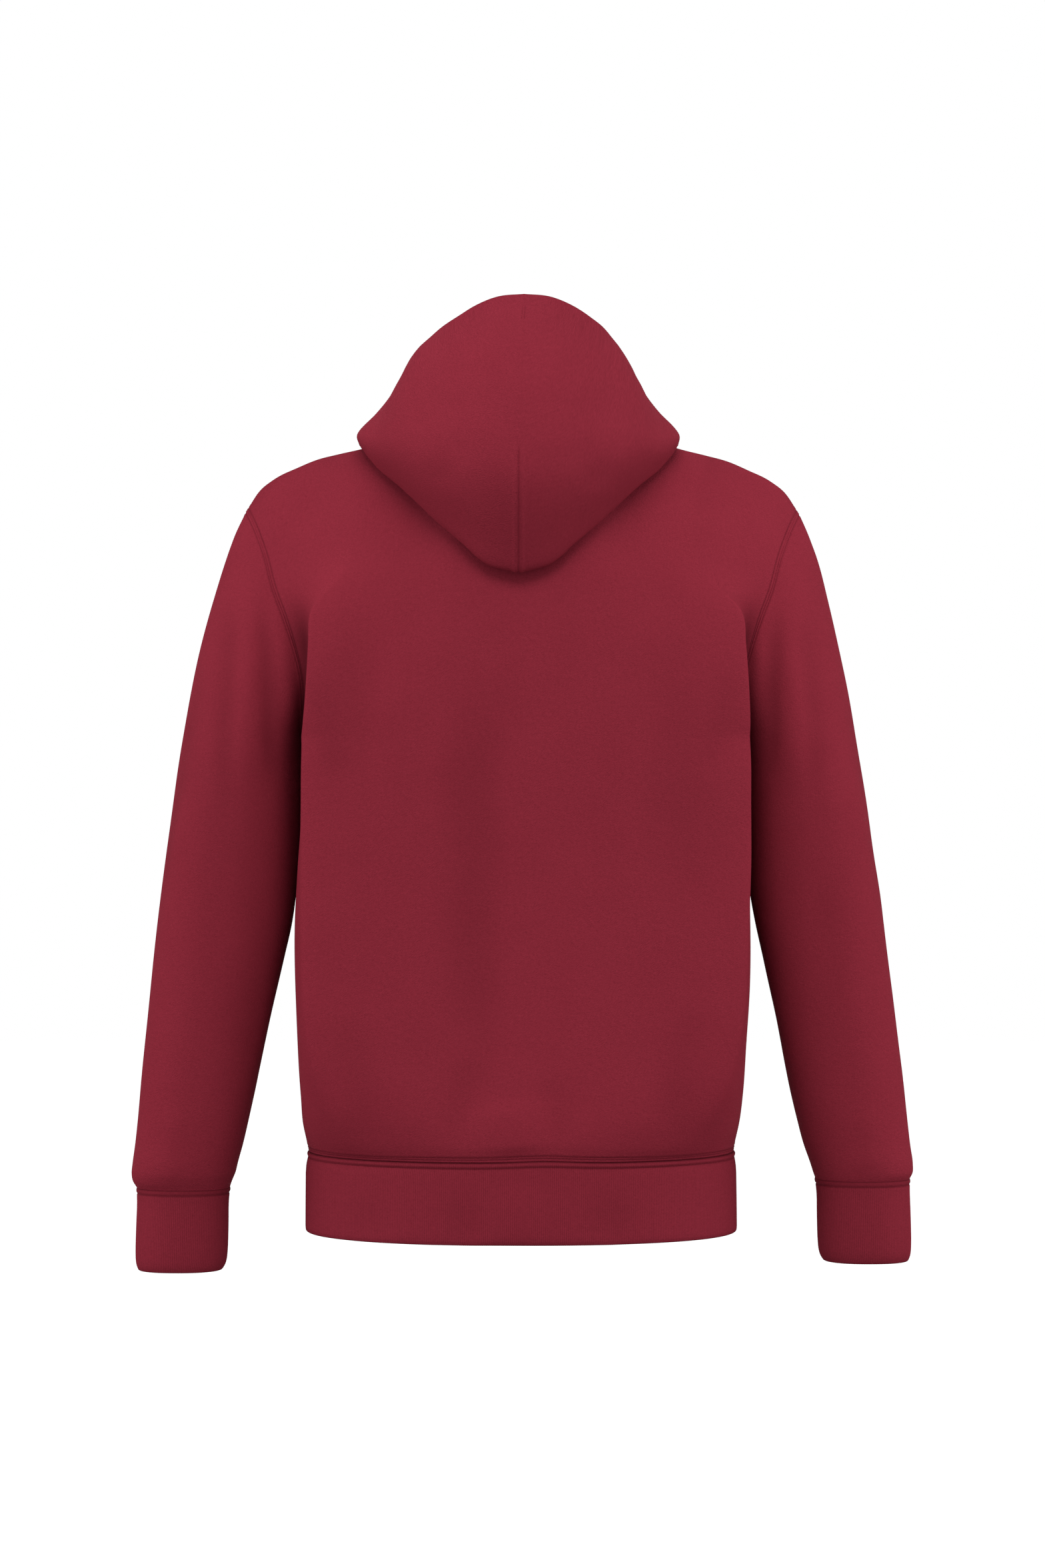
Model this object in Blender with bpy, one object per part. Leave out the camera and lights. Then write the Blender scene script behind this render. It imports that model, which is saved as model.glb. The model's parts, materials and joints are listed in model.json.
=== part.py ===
"""Zip-up hoodie, filled out with no wearer: cut-and-sewn fleece panels with rib bands, hood down, zip closed.

The frame has the front at -Y, the back at +Y and the wearer's left at +X. The origin is the centre of the
neck base, level with the high points of the shoulders. Every panel is a wall through sections of the body,
arm or hood, and panels that meet at a seam share that seam's points, drawn back by half of the seam gap.
"""

from collections import namedtuple
from math import cos, pi, radians, sin

import bmesh
import bpy
import numpy as np
from mathutils import Vector
from mathutils.bvhtree import BVHTree

# Cloth
FLEECE = 0.0022
RIB = 0.0026
HOOD_CASING = 0.0040
SEAM_GAP = 0.0003
MITRE_LEAN = 0.9
RIDGE_LEAN = 0.6

# Heights
HEM_BOTTOM = -0.6730
HEM_SEAM = -0.6050
ARMPIT = -0.2500
CUFF_LENGTH = 0.0708
CUFF_LEAN = 0.0018

# Neck and shoulder
NECK_HALF_WIDTH = 0.0880
NECK_HIGH = 0.0130
NeckRow = namedtuple("NeckRow", "y z fall")
NECK_BACK = NeckRow(0.0720, -0.0200, 1.00)
NECK_FRONT = NeckRow(-0.0880, -0.0750, 1.35)
SHOULDER_POINT = (0.2380, -0.0050, -0.0534)
SIDE_SEAM_Y = -0.0050
RIGHT_SHOULDER_DROP = 0.0020

# Zip: depths are from the outside of the fronts, lengths along the front's centre line
FRONT_EDGE = 0.0060
TAPE_HALF_GAP = 0.0003
TAPE_WIDTH = 0.0150
TAPE_THICKNESS = 0.0008
TAPE_DEPTH = 0.0034
TAPE_TURN = 0.0008
CHAIN_WIDTH = 0.0024
CHAIN_HEIGHT = 0.0012
PLAY = 0.0003
SLIDER_WIDTH = 0.0086
SLIDER_LENGTH = 0.0110
SLIDER_PLATE = 0.0012
SLIDER_POST = 0.0020
SLIDER_BELOW_NECK = 0.0020
LUG_WIDTH = 0.0020
LUG_LENGTH = 0.0070
LUG_BAR = 0.0015
LUG_TUNNEL = 0.0019
PULL_THICKNESS = 0.0012
PULL_HOLE = (0.0032, 0.0060)
PULL_FRAME = 0.0064
PULL_WIDTH = 0.0080
PULL_LENGTH = 0.0300
BOX_WIDTH = 0.0084
BOX_LENGTH = 0.0100
BOX_THICKNESS = 0.0024
ZIP_ABOVE_HEM = 0.0030

# Mesh density: columns from the centre line to the side of the body, marked by the places of the neck point
# and of the vertical side fold, and rows along each panel
NECK_COLUMNS = 8
NECK_PLACE = 0.38
FOLD_PLACE = 0.68
SIDE_PLACES = (0.46, 0.54, 0.61, 0.655, 0.68, 0.71, 0.77, 0.85, 0.925, 1.0)
BODY_HEIGHTS = (-0.605, -0.596, -0.582, -0.555, -0.510, -0.460, -0.410, -0.360, -0.310, -0.272, ARMPIT)
ARMHOLE_ROWS = 10
SLEEVE_SHARES = (0.03, 0.08, 0.13, 0.19, 0.25, 0.32, 0.39, 0.46, 0.53, 0.60, 0.67, 0.74, 0.81, 0.87, 0.92, 0.955,
                 0.975, 0.99, 1.0)
HOOD_ROWS = 22
TAPE_ROWS = 40

# Body below the armpit, by height: the side seam's distance from the centre on each side, the place of the
# back's vertical side fold on each side, the bulge between that fold and the seam, the depth of the back
# and front at the centre line, the squareness of the section and how sharply the back breaks at its folds
BodyRow = namedtuple(
    "BodyRow", "z seam_left seam_right fold_left fold_right bulge_left bulge_right back front square crest"
)
BODY = (
    BodyRow(-0.6730, 0.1872, 0.1850, 0.1850, 0.1828, 0.0000, 0.0000, 0.1290, -0.1110, 2.30, 0.00),
    BodyRow(-0.6400, 0.1868, 0.1845, 0.1850, 0.1826, 0.0000, 0.0000, 0.1285, -0.1110, 2.30, 0.00),
    BodyRow(-0.6180, 0.1862, 0.1838, 0.1842, 0.1818, 0.0000, 0.0000, 0.1275, -0.1105, 2.35, 0.00),
    BodyRow(-0.6050, 0.1842, 0.1820, 0.1826, 0.1802, 0.0000, 0.0000, 0.1275, -0.1100, 2.40, 0.00),
    BodyRow(-0.5960, 0.1862, 0.1834, 0.1842, 0.1812, 0.0000, 0.0000, 0.1305, -0.1125, 2.60, 0.05),
    BodyRow(-0.5820, 0.1885, 0.1852, 0.1852, 0.1832, 0.0010, 0.0010, 0.1320, -0.1140, 2.90, 0.15),
    BodyRow(-0.5550, 0.1898, 0.1880, 0.1858, 0.1860, 0.0010, 0.0010, 0.1310, -0.1145, 3.60, 0.40),
    BodyRow(-0.5100, 0.1915, 0.1905, 0.1858, 0.1878, 0.0015, 0.0010, 0.1280, -0.1140, 4.60, 0.75),
    BodyRow(-0.4600, 0.1930, 0.1935, 0.1855, 0.1892, 0.0020, 0.0010, 0.1255, -0.1135, 5.40, 0.95),
    BodyRow(-0.4100, 0.1944, 0.1942, 0.1854, 0.1896, 0.0012, 0.0005, 0.1245, -0.1140, 6.00, 1.00),
    BodyRow(-0.3600, 0.1905, 0.1905, 0.1853, 0.1912, 0.0015, 0.0000, 0.1245, -0.1155, 6.00, 1.00),
    BodyRow(-0.3100, 0.1858, 0.1860, 0.1853, 0.1915, 0.0000, -0.0010, 0.1255, -0.1170, 6.00, 1.00),
    BodyRow(-0.2720, 0.1850, 0.1850, 0.1853, 0.1915, 0.0000, -0.0010, 0.1268, -0.1175, 5.80, 1.00),
    BodyRow(-0.2500, 0.1875, 0.1875, 0.1855, 0.1913, 0.0000, -0.0010, 0.1272, -0.1172, 5.40, 0.95),
)

# Body above the armpit, by the share of the armhole's length: the heights of the centre lines, the place of
# the side fold, the squareness and the sharpness of the fold there
YokeRow = namedtuple("YokeRow", "share back_z front_z fold_left fold_right bulge_left bulge_right square crest")
YOKE = (
    YokeRow(0.00, -0.250, -0.250, 0.1855, 0.1913, 0.0000, -0.0010, 5.40, 0.95),
    YokeRow(0.20, -0.200, -0.215, 0.1845, 0.1900, 0.0000, -0.0010, 5.00, 0.75),
    YokeRow(0.40, -0.155, -0.182, 0.1830, 0.1870, 0.0000, 0.0000, 4.20, 0.40),
    YokeRow(0.60, -0.112, -0.150, 0.1830, 0.1850, 0.0000, 0.0000, 3.20, 0.10),
    YokeRow(0.80, -0.068, -0.116, 0.1960, 0.1960, 0.0000, 0.0000, 2.50, 0.00),
    YokeRow(1.00, -0.020, -0.075, 0.2380, 0.2350, 0.0000, 0.0000, 2.20, 0.00),
)

# Depth of the back and front centre lines above the armpit, by height
CentreRow = namedtuple("CentreRow", "z y")
BACK_CENTRE = (
    CentreRow(-0.250, 0.1272),
    CentreRow(-0.200, 0.1275),
    CentreRow(-0.150, 0.1260),
    CentreRow(-0.110, 0.1205),
    CentreRow(-0.080, 0.1130),
    CentreRow(-0.055, 0.1020),
    CentreRow(-0.035, 0.0880),
    CentreRow(-0.020, 0.0720),
)
FRONT_CENTRE = (
    CentreRow(-0.250, -0.1172),
    CentreRow(-0.220, -0.1160),
    CentreRow(-0.170, -0.1125),
    CentreRow(-0.130, -0.1055),
    CentreRow(-0.100, -0.0965),
    CentreRow(-0.075, -0.0880),
)

# Shoulder seam, from the neck point to the armhole
ShoulderRow = namedtuple("ShoulderRow", "x z")
SHOULDER = (
    ShoulderRow(0.0880, 0.0130),
    ShoulderRow(0.1120, 0.0065),
    ShoulderRow(0.1390, -0.0008),
    ShoulderRow(0.1586, -0.0052),
    ShoulderRow(0.1776, -0.0100),
    ShoulderRow(0.1937, -0.0166),
    ShoulderRow(0.2149, -0.0270),
    ShoulderRow(0.2276, -0.0375),
    ShoulderRow(0.2380, -0.0534),
)

# Armhole seams, from the armpit to the shoulder point
ArmholeRow = namedtuple("ArmholeRow", "x y z")
ARMHOLE_BACK = (
    ArmholeRow(0.1875, -0.005, -0.2500),
    ArmholeRow(0.1874, 0.020, -0.2400),
    ArmholeRow(0.1868, 0.044, -0.2170),
    ArmholeRow(0.1882, 0.056, -0.1950),
    ArmholeRow(0.1938, 0.059, -0.1730),
    ArmholeRow(0.2020, 0.057, -0.1480),
    ArmholeRow(0.2120, 0.048, -0.1220),
    ArmholeRow(0.2200, 0.034, -0.0940),
    ArmholeRow(0.2300, 0.014, -0.0690),
    ArmholeRow(0.2380, -0.005, -0.0534),
)
ARMHOLE_FRONT = (
    ArmholeRow(0.1875, -0.005, -0.2500),
    ArmholeRow(0.1872, -0.030, -0.2390),
    ArmholeRow(0.1856, -0.053, -0.2150),
    ArmholeRow(0.1845, -0.066, -0.1880),
    ArmholeRow(0.1865, -0.071, -0.1600),
    ArmholeRow(0.1930, -0.067, -0.1330),
    ArmholeRow(0.2050, -0.056, -0.1070),
    ArmholeRow(0.2180, -0.037, -0.0820),
    ArmholeRow(0.2300, -0.019, -0.0640),
    ArmholeRow(0.2380, -0.005, -0.0534),
)

# Sleeve sections by height: outer and inner line of each sleeve, the depth of the middle and half the depth
SleeveRow = namedtuple("SleeveRow", "z outer_left inner_left outer_right inner_right middle half_depth")
SLEEVE = (
    SleeveRow(-0.0534, 0.2380, 0.1850, 0.2350, 0.1850, -0.005, 0.030),
    SleeveRow(-0.0736, 0.2477, 0.1860, 0.2440, 0.1860, -0.005, 0.044),
    SleeveRow(-0.0966, 0.2557, 0.1870, 0.2523, 0.1870, -0.005, 0.056),
    SleeveRow(-0.1310, 0.2661, 0.1880, 0.2615, 0.1880, -0.005, 0.068),
    SleeveRow(-0.1770, 0.2787, 0.1890, 0.2724, 0.1890, -0.005, 0.076),
    SleeveRow(-0.2115, 0.2862, 0.1895, 0.2799, 0.1895, -0.005, 0.078),
    SleeveRow(-0.2575, 0.2948, 0.1900, 0.2885, 0.1910, -0.005, 0.077),
    SleeveRow(-0.3034, 0.3017, 0.1902, 0.2966, 0.1920, -0.006, 0.073),
    SleeveRow(-0.3494, 0.3082, 0.1915, 0.3036, 0.1935, -0.007, 0.068),
    SleeveRow(-0.3850, 0.3125, 0.1952, 0.3092, 0.1958, -0.008, 0.064),
    SleeveRow(-0.4069, 0.3150, 0.1984, 0.3120, 0.1994, -0.009, 0.062),
    SleeveRow(-0.4414, 0.3188, 0.2063, 0.3162, 0.2069, -0.010, 0.059),
    SleeveRow(-0.4874, 0.3236, 0.2167, 0.3221, 0.2174, -0.012, 0.056),
    SleeveRow(-0.5333, 0.3284, 0.2264, 0.3274, 0.2274, -0.014, 0.053),
    SleeveRow(-0.5793, 0.3328, 0.2368, 0.3324, 0.2380, -0.016, 0.050),
    SleeveRow(-0.6023, 0.3354, 0.2425, 0.3352, 0.2440, -0.017, 0.048),
    SleeveRow(-0.6180, 0.3374, 0.2470, 0.3374, 0.2495, -0.017, 0.046),
    SleeveRow(-0.6260, 0.3381, 0.2490, 0.3372, 0.2520, -0.017, 0.044),
    SleeveRow(-0.6320, 0.3372, 0.2515, 0.3345, 0.2540, -0.017, 0.041),
    SleeveRow(-0.6400, 0.3330, 0.2540, 0.3320, 0.2540, -0.017, 0.037),
)
CUFF_SEAM = {"left": -0.6385, "right": -0.6305}
UNDERARM_REACH = 0.09
OVERARM_REACH = 0.50

# Hood profiles by the angle around the neck from the centre back, each from the neck seam over the roll at
# the neck, down to the fold on the back and shoulders, round it, and up over the belly to the rim of the face
# opening. Radii are from the neck's axis.
HoodRow = namedtuple(
    "HoodRow", "angle roll_r roll_z under_r under_z fold_r fold_z belly_r belly_z dome_r dome_z rim_r rim_z"
)
HOOD = (
    HoodRow(0, 0.0840, 0.012, 0.1240, -0.060, 0.1440, -0.1150, 0.1850, -0.030, 0.1650, 0.065, 0.1080, 0.1200),
    HoodRow(12, 0.0845, 0.013, 0.1220, -0.055, 0.1395, -0.1090, 0.1810, -0.026, 0.1600, 0.063, 0.1080, 0.1180),
    HoodRow(22, 0.0855, 0.015, 0.1190, -0.045, 0.1350, -0.0925, 0.1740, -0.020, 0.1525, 0.060, 0.1080, 0.1115),
    HoodRow(32, 0.0865, 0.017, 0.1150, -0.035, 0.1300, -0.0755, 0.1650, -0.013, 0.1430, 0.057, 0.1080, 0.1020),
    HoodRow(42, 0.0880, 0.020, 0.1120, -0.024, 0.1275, -0.0580, 0.1560, -0.007, 0.1370, 0.053, 0.1070, 0.0935),
    HoodRow(52, 0.0895, 0.023, 0.1110, -0.012, 0.1275, -0.0430, 0.1480, -0.003, 0.1290, 0.048, 0.1050, 0.0815),
    HoodRow(63, 0.0915, 0.027, 0.1130, 0.000, 0.1310, -0.0290, 0.1430, 0.001, 0.1215, 0.040, 0.1020, 0.0670),
    HoodRow(76, 0.0940, 0.030, 0.1160, 0.008, 0.1385, -0.0060, 0.1422, 0.007, 0.1180, 0.035, 0.1000, 0.0540),
    HoodRow(90, 0.0950, 0.031, 0.1160, 0.012, 0.1350, 0.0020, 0.1385, 0.012, 0.1150, 0.033, 0.0980, 0.0440),
    HoodRow(105, 0.0930, 0.022, 0.1100, 0.010, 0.1220, 0.0020, 0.1270, 0.011, 0.1120, 0.027, 0.0960, 0.0340),
    HoodRow(120, 0.0900, 0.006, 0.1010, 0.001, 0.1110, -0.0020, 0.1150, 0.006, 0.1060, 0.015, 0.0930, 0.0200),
    HoodRow(135, 0.0900, -0.016, 0.0960, -0.014, 0.1030, -0.0110, 0.1070, -0.004, 0.1020, 0.003, 0.0910, 0.0060),
    HoodRow(150, 0.0900, -0.038, 0.0945, -0.032, 0.0985, -0.0260, 0.1010, -0.020, 0.0980, -0.014, 0.0900, -0.0100),
    HoodRow(165, 0.0895, -0.060, 0.0920, -0.054, 0.0940, -0.0480, 0.0955, -0.042, 0.0940, -0.036, 0.0895, -0.0310),
    HoodRow(180, 0.0890, -0.070, 0.0905, -0.065, 0.0920, -0.0600, 0.0930, -0.055, 0.0925, -0.050, 0.0890, -0.0460),
)
HOOD_SHIFT = 0.0034
HOOD_TOP_SHIFT = -0.0012
HOOD_ON_BODY = 0.0014
CASING_PLACE = 0.90

PATCHES = []


def interpolate(table, key, column, at):
    """Reads a table's column at a value of its key, on a smooth curve through the rows."""
    rows = sorted(table, key=lambda row: getattr(row, key))
    keys = np.array([getattr(row, key) for row in rows])
    values = np.array([getattr(row, column) for row in rows])
    slopes = np.gradient(values, keys)
    at = min(max(at, keys[0]), keys[-1])
    i = int(np.clip(np.searchsorted(keys, at) - 1, 0, len(keys) - 2))
    step = keys[i + 1] - keys[i]
    t = (at - keys[i]) / step
    start = (1 + 2 * t) * (1 - t) ** 2 * values[i] + t * (1 - t) ** 2 * step * slopes[i]
    end = t * t * (3 - 2 * t) * values[i + 1] - t * t * (1 - t) * step * slopes[i + 1]
    return float(start + end)


def curve_through(points, steps=12):
    """A smooth line through points (centripetal Catmull-Rom), as an array with steps points to each span."""
    p = np.array(points, float)
    p = np.vstack([2 * p[0] - p[1], p, 2 * p[-1] - p[-2]])
    knots = np.concatenate([[0], np.cumsum(np.sqrt(np.linalg.norm(np.diff(p, axis=0), axis=1)))])
    line = []
    for i in range(1, len(p) - 2):
        k = knots[i - 1 : i + 3]
        for t in np.linspace(k[1], k[2], steps, endpoint=False):
            a = [(k[j + 1] - t) / (k[j + 1] - k[j]) * p[i - 1 + j] + (t - k[j]) / (k[j + 1] - k[j]) * p[i + j]
                 for j in range(3)]
            b = [(k[j + 2] - t) / (k[j + 2] - k[j]) * a[j] + (t - k[j]) / (k[j + 2] - k[j]) * a[j + 1]
                 for j in range(2)]
            line.append((k[2] - t) / (k[2] - k[1]) * b[0] + (t - k[1]) / (k[2] - k[1]) * b[1])
    line.append(p[-2])
    return np.array(line)


def along(line, shares):
    """Points of a line at shares of its length."""
    length = np.concatenate([[0], np.cumsum(np.linalg.norm(np.diff(line, axis=0), axis=1))])
    at = np.asarray(shares) * length[-1]
    return np.stack([np.interp(at, length, line[:, k]) for k in range(line.shape[1])], axis=1)


def places():
    """Places of the columns across half of the body, from the centre line (0) to the side (1)."""
    return [NECK_PLACE * i / NECK_COLUMNS for i in range(NECK_COLUMNS + 1)] + list(SIDE_PLACES)


def section_point(place, centre, edge, shape):
    """A point of the body's section that runs from the centre line, round the side fold, to its edge."""
    fold, bulge, square, crest = shape
    corner = 0.5 ** (1 / square)
    if place <= FOLD_PLACE:
        width = corner * place / FOLD_PLACE
        depth = (1 - width**square) ** (1 / square)
        x = centre[0] + (fold - centre[0]) * place / FOLD_PLACE * (corner + (1 - corner) * crest)
    else:
        share = (1 - place) / (1 - FOLD_PLACE)
        depth = corner * share
        width = (1 - depth**square) ** (1 / square)
        x = (1 - crest) * (centre[0] + (fold - centre[0]) * width) + crest * fold
        x += bulge * 4 * share * (1 - share)
    lean = (edge[0] - fold) * (1 - depth) ** 1.5
    if place > FOLD_PLACE:
        lean = (1 - crest) * lean + crest * (edge[0] - fold) * (1 - share**2)
    else:
        lean = (1 - crest) * lean
    y = edge[1] + (centre[1] - edge[1]) * depth
    z = centre[2] + (edge[2] - centre[2]) * width**2
    return np.array([x + lean, y, z])


def softened(face, bulge, square, crest):
    """The front's sides are rounder than the back's, which break in a fold."""
    if face == "back":
        return bulge, square, crest
    return 0.3 * bulge, 2.3 + 0.35 * (square - 2.3), 0.0


def body_row(face, side, z):
    """One level row of the body below the armpit."""
    start = 0.0 if face == "back" else FRONT_EDGE
    centre = (start, interpolate(BODY, "z", face, z), z)
    edge = (interpolate(BODY, "z", "seam_" + side, z), SIDE_SEAM_Y, z)
    fold = interpolate(BODY, "z", "fold_" + side, z)
    bulge = interpolate(BODY, "z", "bulge_" + side, z)
    square = interpolate(BODY, "z", "square", z)
    crest = interpolate(BODY, "z", "crest", z)
    shape = (fold, *softened(face, bulge, square, crest))
    return [section_point(p, centre, edge, shape) for p in places()]


def neck_and_shoulder(face, place):
    """A point of the line along the neckline and the shoulder seam."""
    start = 0.0 if face == "back" else FRONT_EDGE
    low = NECK_BACK if face == "back" else NECK_FRONT
    if place <= NECK_PLACE:
        turn = pi / 2 * place / NECK_PLACE
        x = start + (NECK_HALF_WIDTH - start) * sin(turn)
        return np.array([x, low.y * cos(turn), low.z + (NECK_HIGH - low.z) * (1 - cos(turn) ** low.fall)])
    share = (place - NECK_PLACE) / (1 - NECK_PLACE)
    x = NECK_HALF_WIDTH + (SHOULDER_POINT[0] - NECK_HALF_WIDTH) * share
    return np.array([x, SHOULDER_POINT[1] * share, interpolate(SHOULDER, "x", "z", x)])


def armhole_shares():
    """Shares of the armhole's length at the rows, closer towards the shoulder."""
    steps = [j / ARMHOLE_ROWS for j in range(ARMHOLE_ROWS + 1)]
    return [0.45 * s + 0.55 * sin(pi / 2 * s) for s in steps]


def armhole(face):
    table = ARMHOLE_BACK if face == "back" else ARMHOLE_FRONT
    return along(curve_through(table), armhole_shares())


def yoke_shape(face, side, share):
    """Centre point of the body's section at a share of the armhole, with its fold, bulge, squareness and crest."""
    table, start = (BACK_CENTRE, 0.0) if face == "back" else (FRONT_CENTRE, FRONT_EDGE)
    z = interpolate(YOKE, "share", face + "_z", share)
    centre = (start, interpolate(table, "z", "y", z), z)
    fold = interpolate(YOKE, "share", "fold_" + side, share)
    bulge = interpolate(YOKE, "share", "bulge_" + side, share)
    square = interpolate(YOKE, "share", "square", share)
    crest = interpolate(YOKE, "share", "crest", share)
    return centre, (fold, *softened(face, bulge, square, crest))


def yoke_row(face, side, share, edge):
    """One row of the body above the armpit, rounded over towards the neckline and the shoulder seam."""
    centre, shape = yoke_shape(face, side, share)
    top_centre, top_shape = yoke_shape(face, side, 1.0)
    towards_seam = np.array([share**2, 1 - (1 - share**2) ** 0.5, share**3])
    row = []
    for place in places():
        point = section_point(place, centre, edge, shape)
        top = section_point(place, top_centre, SHOULDER_POINT, top_shape)
        row.append(point + (neck_and_shoulder(face, place) - top) * towards_seam)
    return row


def half_panel(face, side):
    """Rows of points over half of the body on one side, from the hem seam up, as if on the left."""
    rows = [body_row(face, side, z) for z in BODY_HEIGHTS]
    edges = armhole(face)
    for share, edge in list(zip(armhole_shares(), edges))[1:]:
        rows.append(yoke_row(face, side, share, edge))
    return np.array(rows)


def mirrored(points):
    """Points taken over to the right side, where the shoulder is slightly lower."""
    outward = np.clip((points[..., 0] - 0.09) / 0.11, 0, 1)
    upward = np.clip((points[..., 2] + 0.20) / 0.12, 0, 1)
    taken = points * np.array([-1.0, 1.0, 1.0])
    taken[..., 2] -= RIGHT_SHOULDER_DROP * outward * upward
    return taken


def sleeve_grid(side):
    """Rings of the sleeve from the armhole to the cuff seam, as if on the left."""
    back, front = armhole("back"), armhole("front")
    start = np.vstack([back, front[-2:0:-1]])
    shares = armhole_shares()
    angles = [pi * (1 - s) for s in shares] + [-pi * (1 - s) for s in shares[-2:0:-1]]
    seam = CUFF_SEAM[side]

    def ring_point(angle, z):
        outer = interpolate(SLEEVE, "z", "outer_" + side, z)
        inner = interpolate(SLEEVE, "z", "inner_" + side, z)
        middle = interpolate(SLEEVE, "z", "middle", z)
        half_depth = interpolate(SLEEVE, "z", "half_depth", z)
        x = (outer + inner) / 2 + (outer - inner) / 2 * cos(angle)
        return np.array([x, middle + half_depth * sin(angle), z])

    rings = [start]
    for share in SLEEVE_SHARES:
        ring = []
        for point, angle in zip(start, angles):
            reach = UNDERARM_REACH + (OVERARM_REACH - UNDERARM_REACH) * (1 + cos(angle)) / 2
            hold = max(0.0, 1 - share / reach) ** 1.5
            z = point[2] + (seam - point[2]) * share
            ring.append(ring_point(angle, z) + (point - ring_point(angle, point[2])) * hold)
        rings.append(ring)
    return np.array(rings)


def cuff_grid(last_ring):
    """Rings of the cuff below the sleeve's last ring, leaning outwards and turned in at the bottom."""
    middle = last_ring.mean(axis=0)
    rings = []
    for drop, scale in ((0.0, 1.0), (0.10, 0.985), (0.5, 0.978), (0.93, 0.965), (1.0, 0.925)):
        ring = middle + (last_ring - middle) * np.array([scale, scale, 0.35 if drop else 1.0])
        rings.append(ring + np.array([CUFF_LEAN, 0.0, -CUFF_LENGTH]) * drop)
    return np.array(rings)


def hood_profile(angle, neck_point):
    """The hood's profile at one angle, in radius and height, as a smooth line."""
    row = {name: interpolate(HOOD, "angle", name, angle) for name in HoodRow._fields[1:]}
    neck_r = float(np.hypot(neck_point[0], neck_point[1]))
    neck_z = float(neck_point[2])
    rise_z = 0.5 * (neck_z + row["roll_z"])
    points = [(neck_r, neck_z), (neck_r + 0.2 * (row["roll_r"] - neck_r), rise_z)]
    points += [(row[n + "_r"], row[n + "_z"]) for n in ("roll", "under", "fold", "belly", "dome", "rim")]
    return curve_through(points, 10)


def body_surface(panels):
    """The outside of the body panels, for seating what lies on them."""
    points, faces = [], []
    for grid in panels:
        base = len(points)
        rows, cols = grid.shape[:2]
        points += [Vector(p) for p in grid.reshape(-1, 3)]
        for r in range(rows - 1):
            for c in range(cols - 1):
                a = base + r * cols + c
                faces.append((a, a + 1, a + cols + 1, a + cols))
    return BVHTree.FromPolygons(points, faces)


def hood_grid(neckline, surface):
    """The hood's outside from the neckline to the rim, with its under layer seated on the body."""
    columns = []
    shares = [0, 0.03, 0.065] + [0.065 + 0.935 * k / (HOOD_ROWS - 2) for k in range(1, HOOD_ROWS - 1)]
    for neck in neckline:
        angle = np.degrees(np.arctan2(abs(neck[0]), neck[1]))
        direction = np.array([neck[0], neck[1]]) / np.hypot(neck[0], neck[1])
        profile = along(hood_profile(angle, neck), shares)
        column = []
        for k, (radius, z) in enumerate(profile):
            top = min(1.0, max(0.0, (z - 0.055) / 0.050))
            shift = HOOD_SHIFT + (HOOD_TOP_SHIFT - HOOD_SHIFT) * top
            shift *= min(1.0, max(0, k - 2) / 6) * (1 - (angle / 180) ** 2)
            point = np.array([direction[0] * radius + shift, direction[1] * radius, z])
            if k > 0:
                point = seated(point, surface)
            column.append(point)
        column[0] = neck
        columns.append(column)
    return np.array(columns).transpose(1, 0, 2)


def seated(point, surface):
    """Moves a point of the hood out of the body to its clearance; a point over the neck opening stays."""
    place, normal, _, distance = surface.find_nearest(Vector(point), 0.08)
    if place is None:
        return point
    away = Vector(point) - place
    height = away.dot(normal)
    if height >= HOOD_ON_BODY or (away - normal * height).length > 0.5 * distance:
        return point
    return point + np.array(normal * (HOOD_ON_BODY - height))


def add_patch(name, grid, thickness, material, closed=False, mitred=True):
    """Keeps a panel's grid of outside points, row by row, until all seams are known."""
    PATCHES.append({"name": name, "grid": np.array(grid), "thickness": thickness, "material": material,
                    "closed": closed, "mitred": mitred})


def patch_normals(patch):
    """Outward normals of a patch's grid."""
    g, closed = patch["grid"], patch["closed"]
    across = np.roll(g, -1, axis=1) - np.roll(g, 1, axis=1) if closed else np.gradient(g, axis=1)
    up = np.gradient(g, axis=0)
    n = np.cross(across, up)
    return n / np.linalg.norm(n, axis=2, keepdims=True)


def boundary(patch):
    """Each edge point's index with the index of the point next to it inside the patch."""
    rows, cols = patch["grid"].shape[:2]
    found = {}
    for r in range(rows):
        for c in range(cols):
            if patch["closed"]:
                inner = (min(max(r, 1), rows - 2), c)
            else:
                inner = (min(max(r, 1), rows - 2), min(max(c, 1), cols - 2))
            if inner != (r, c):
                found[(r, c)] = inner
    return found


def seam_key(point):
    return tuple(int(round(v * 1e6)) for v in point)


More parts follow.
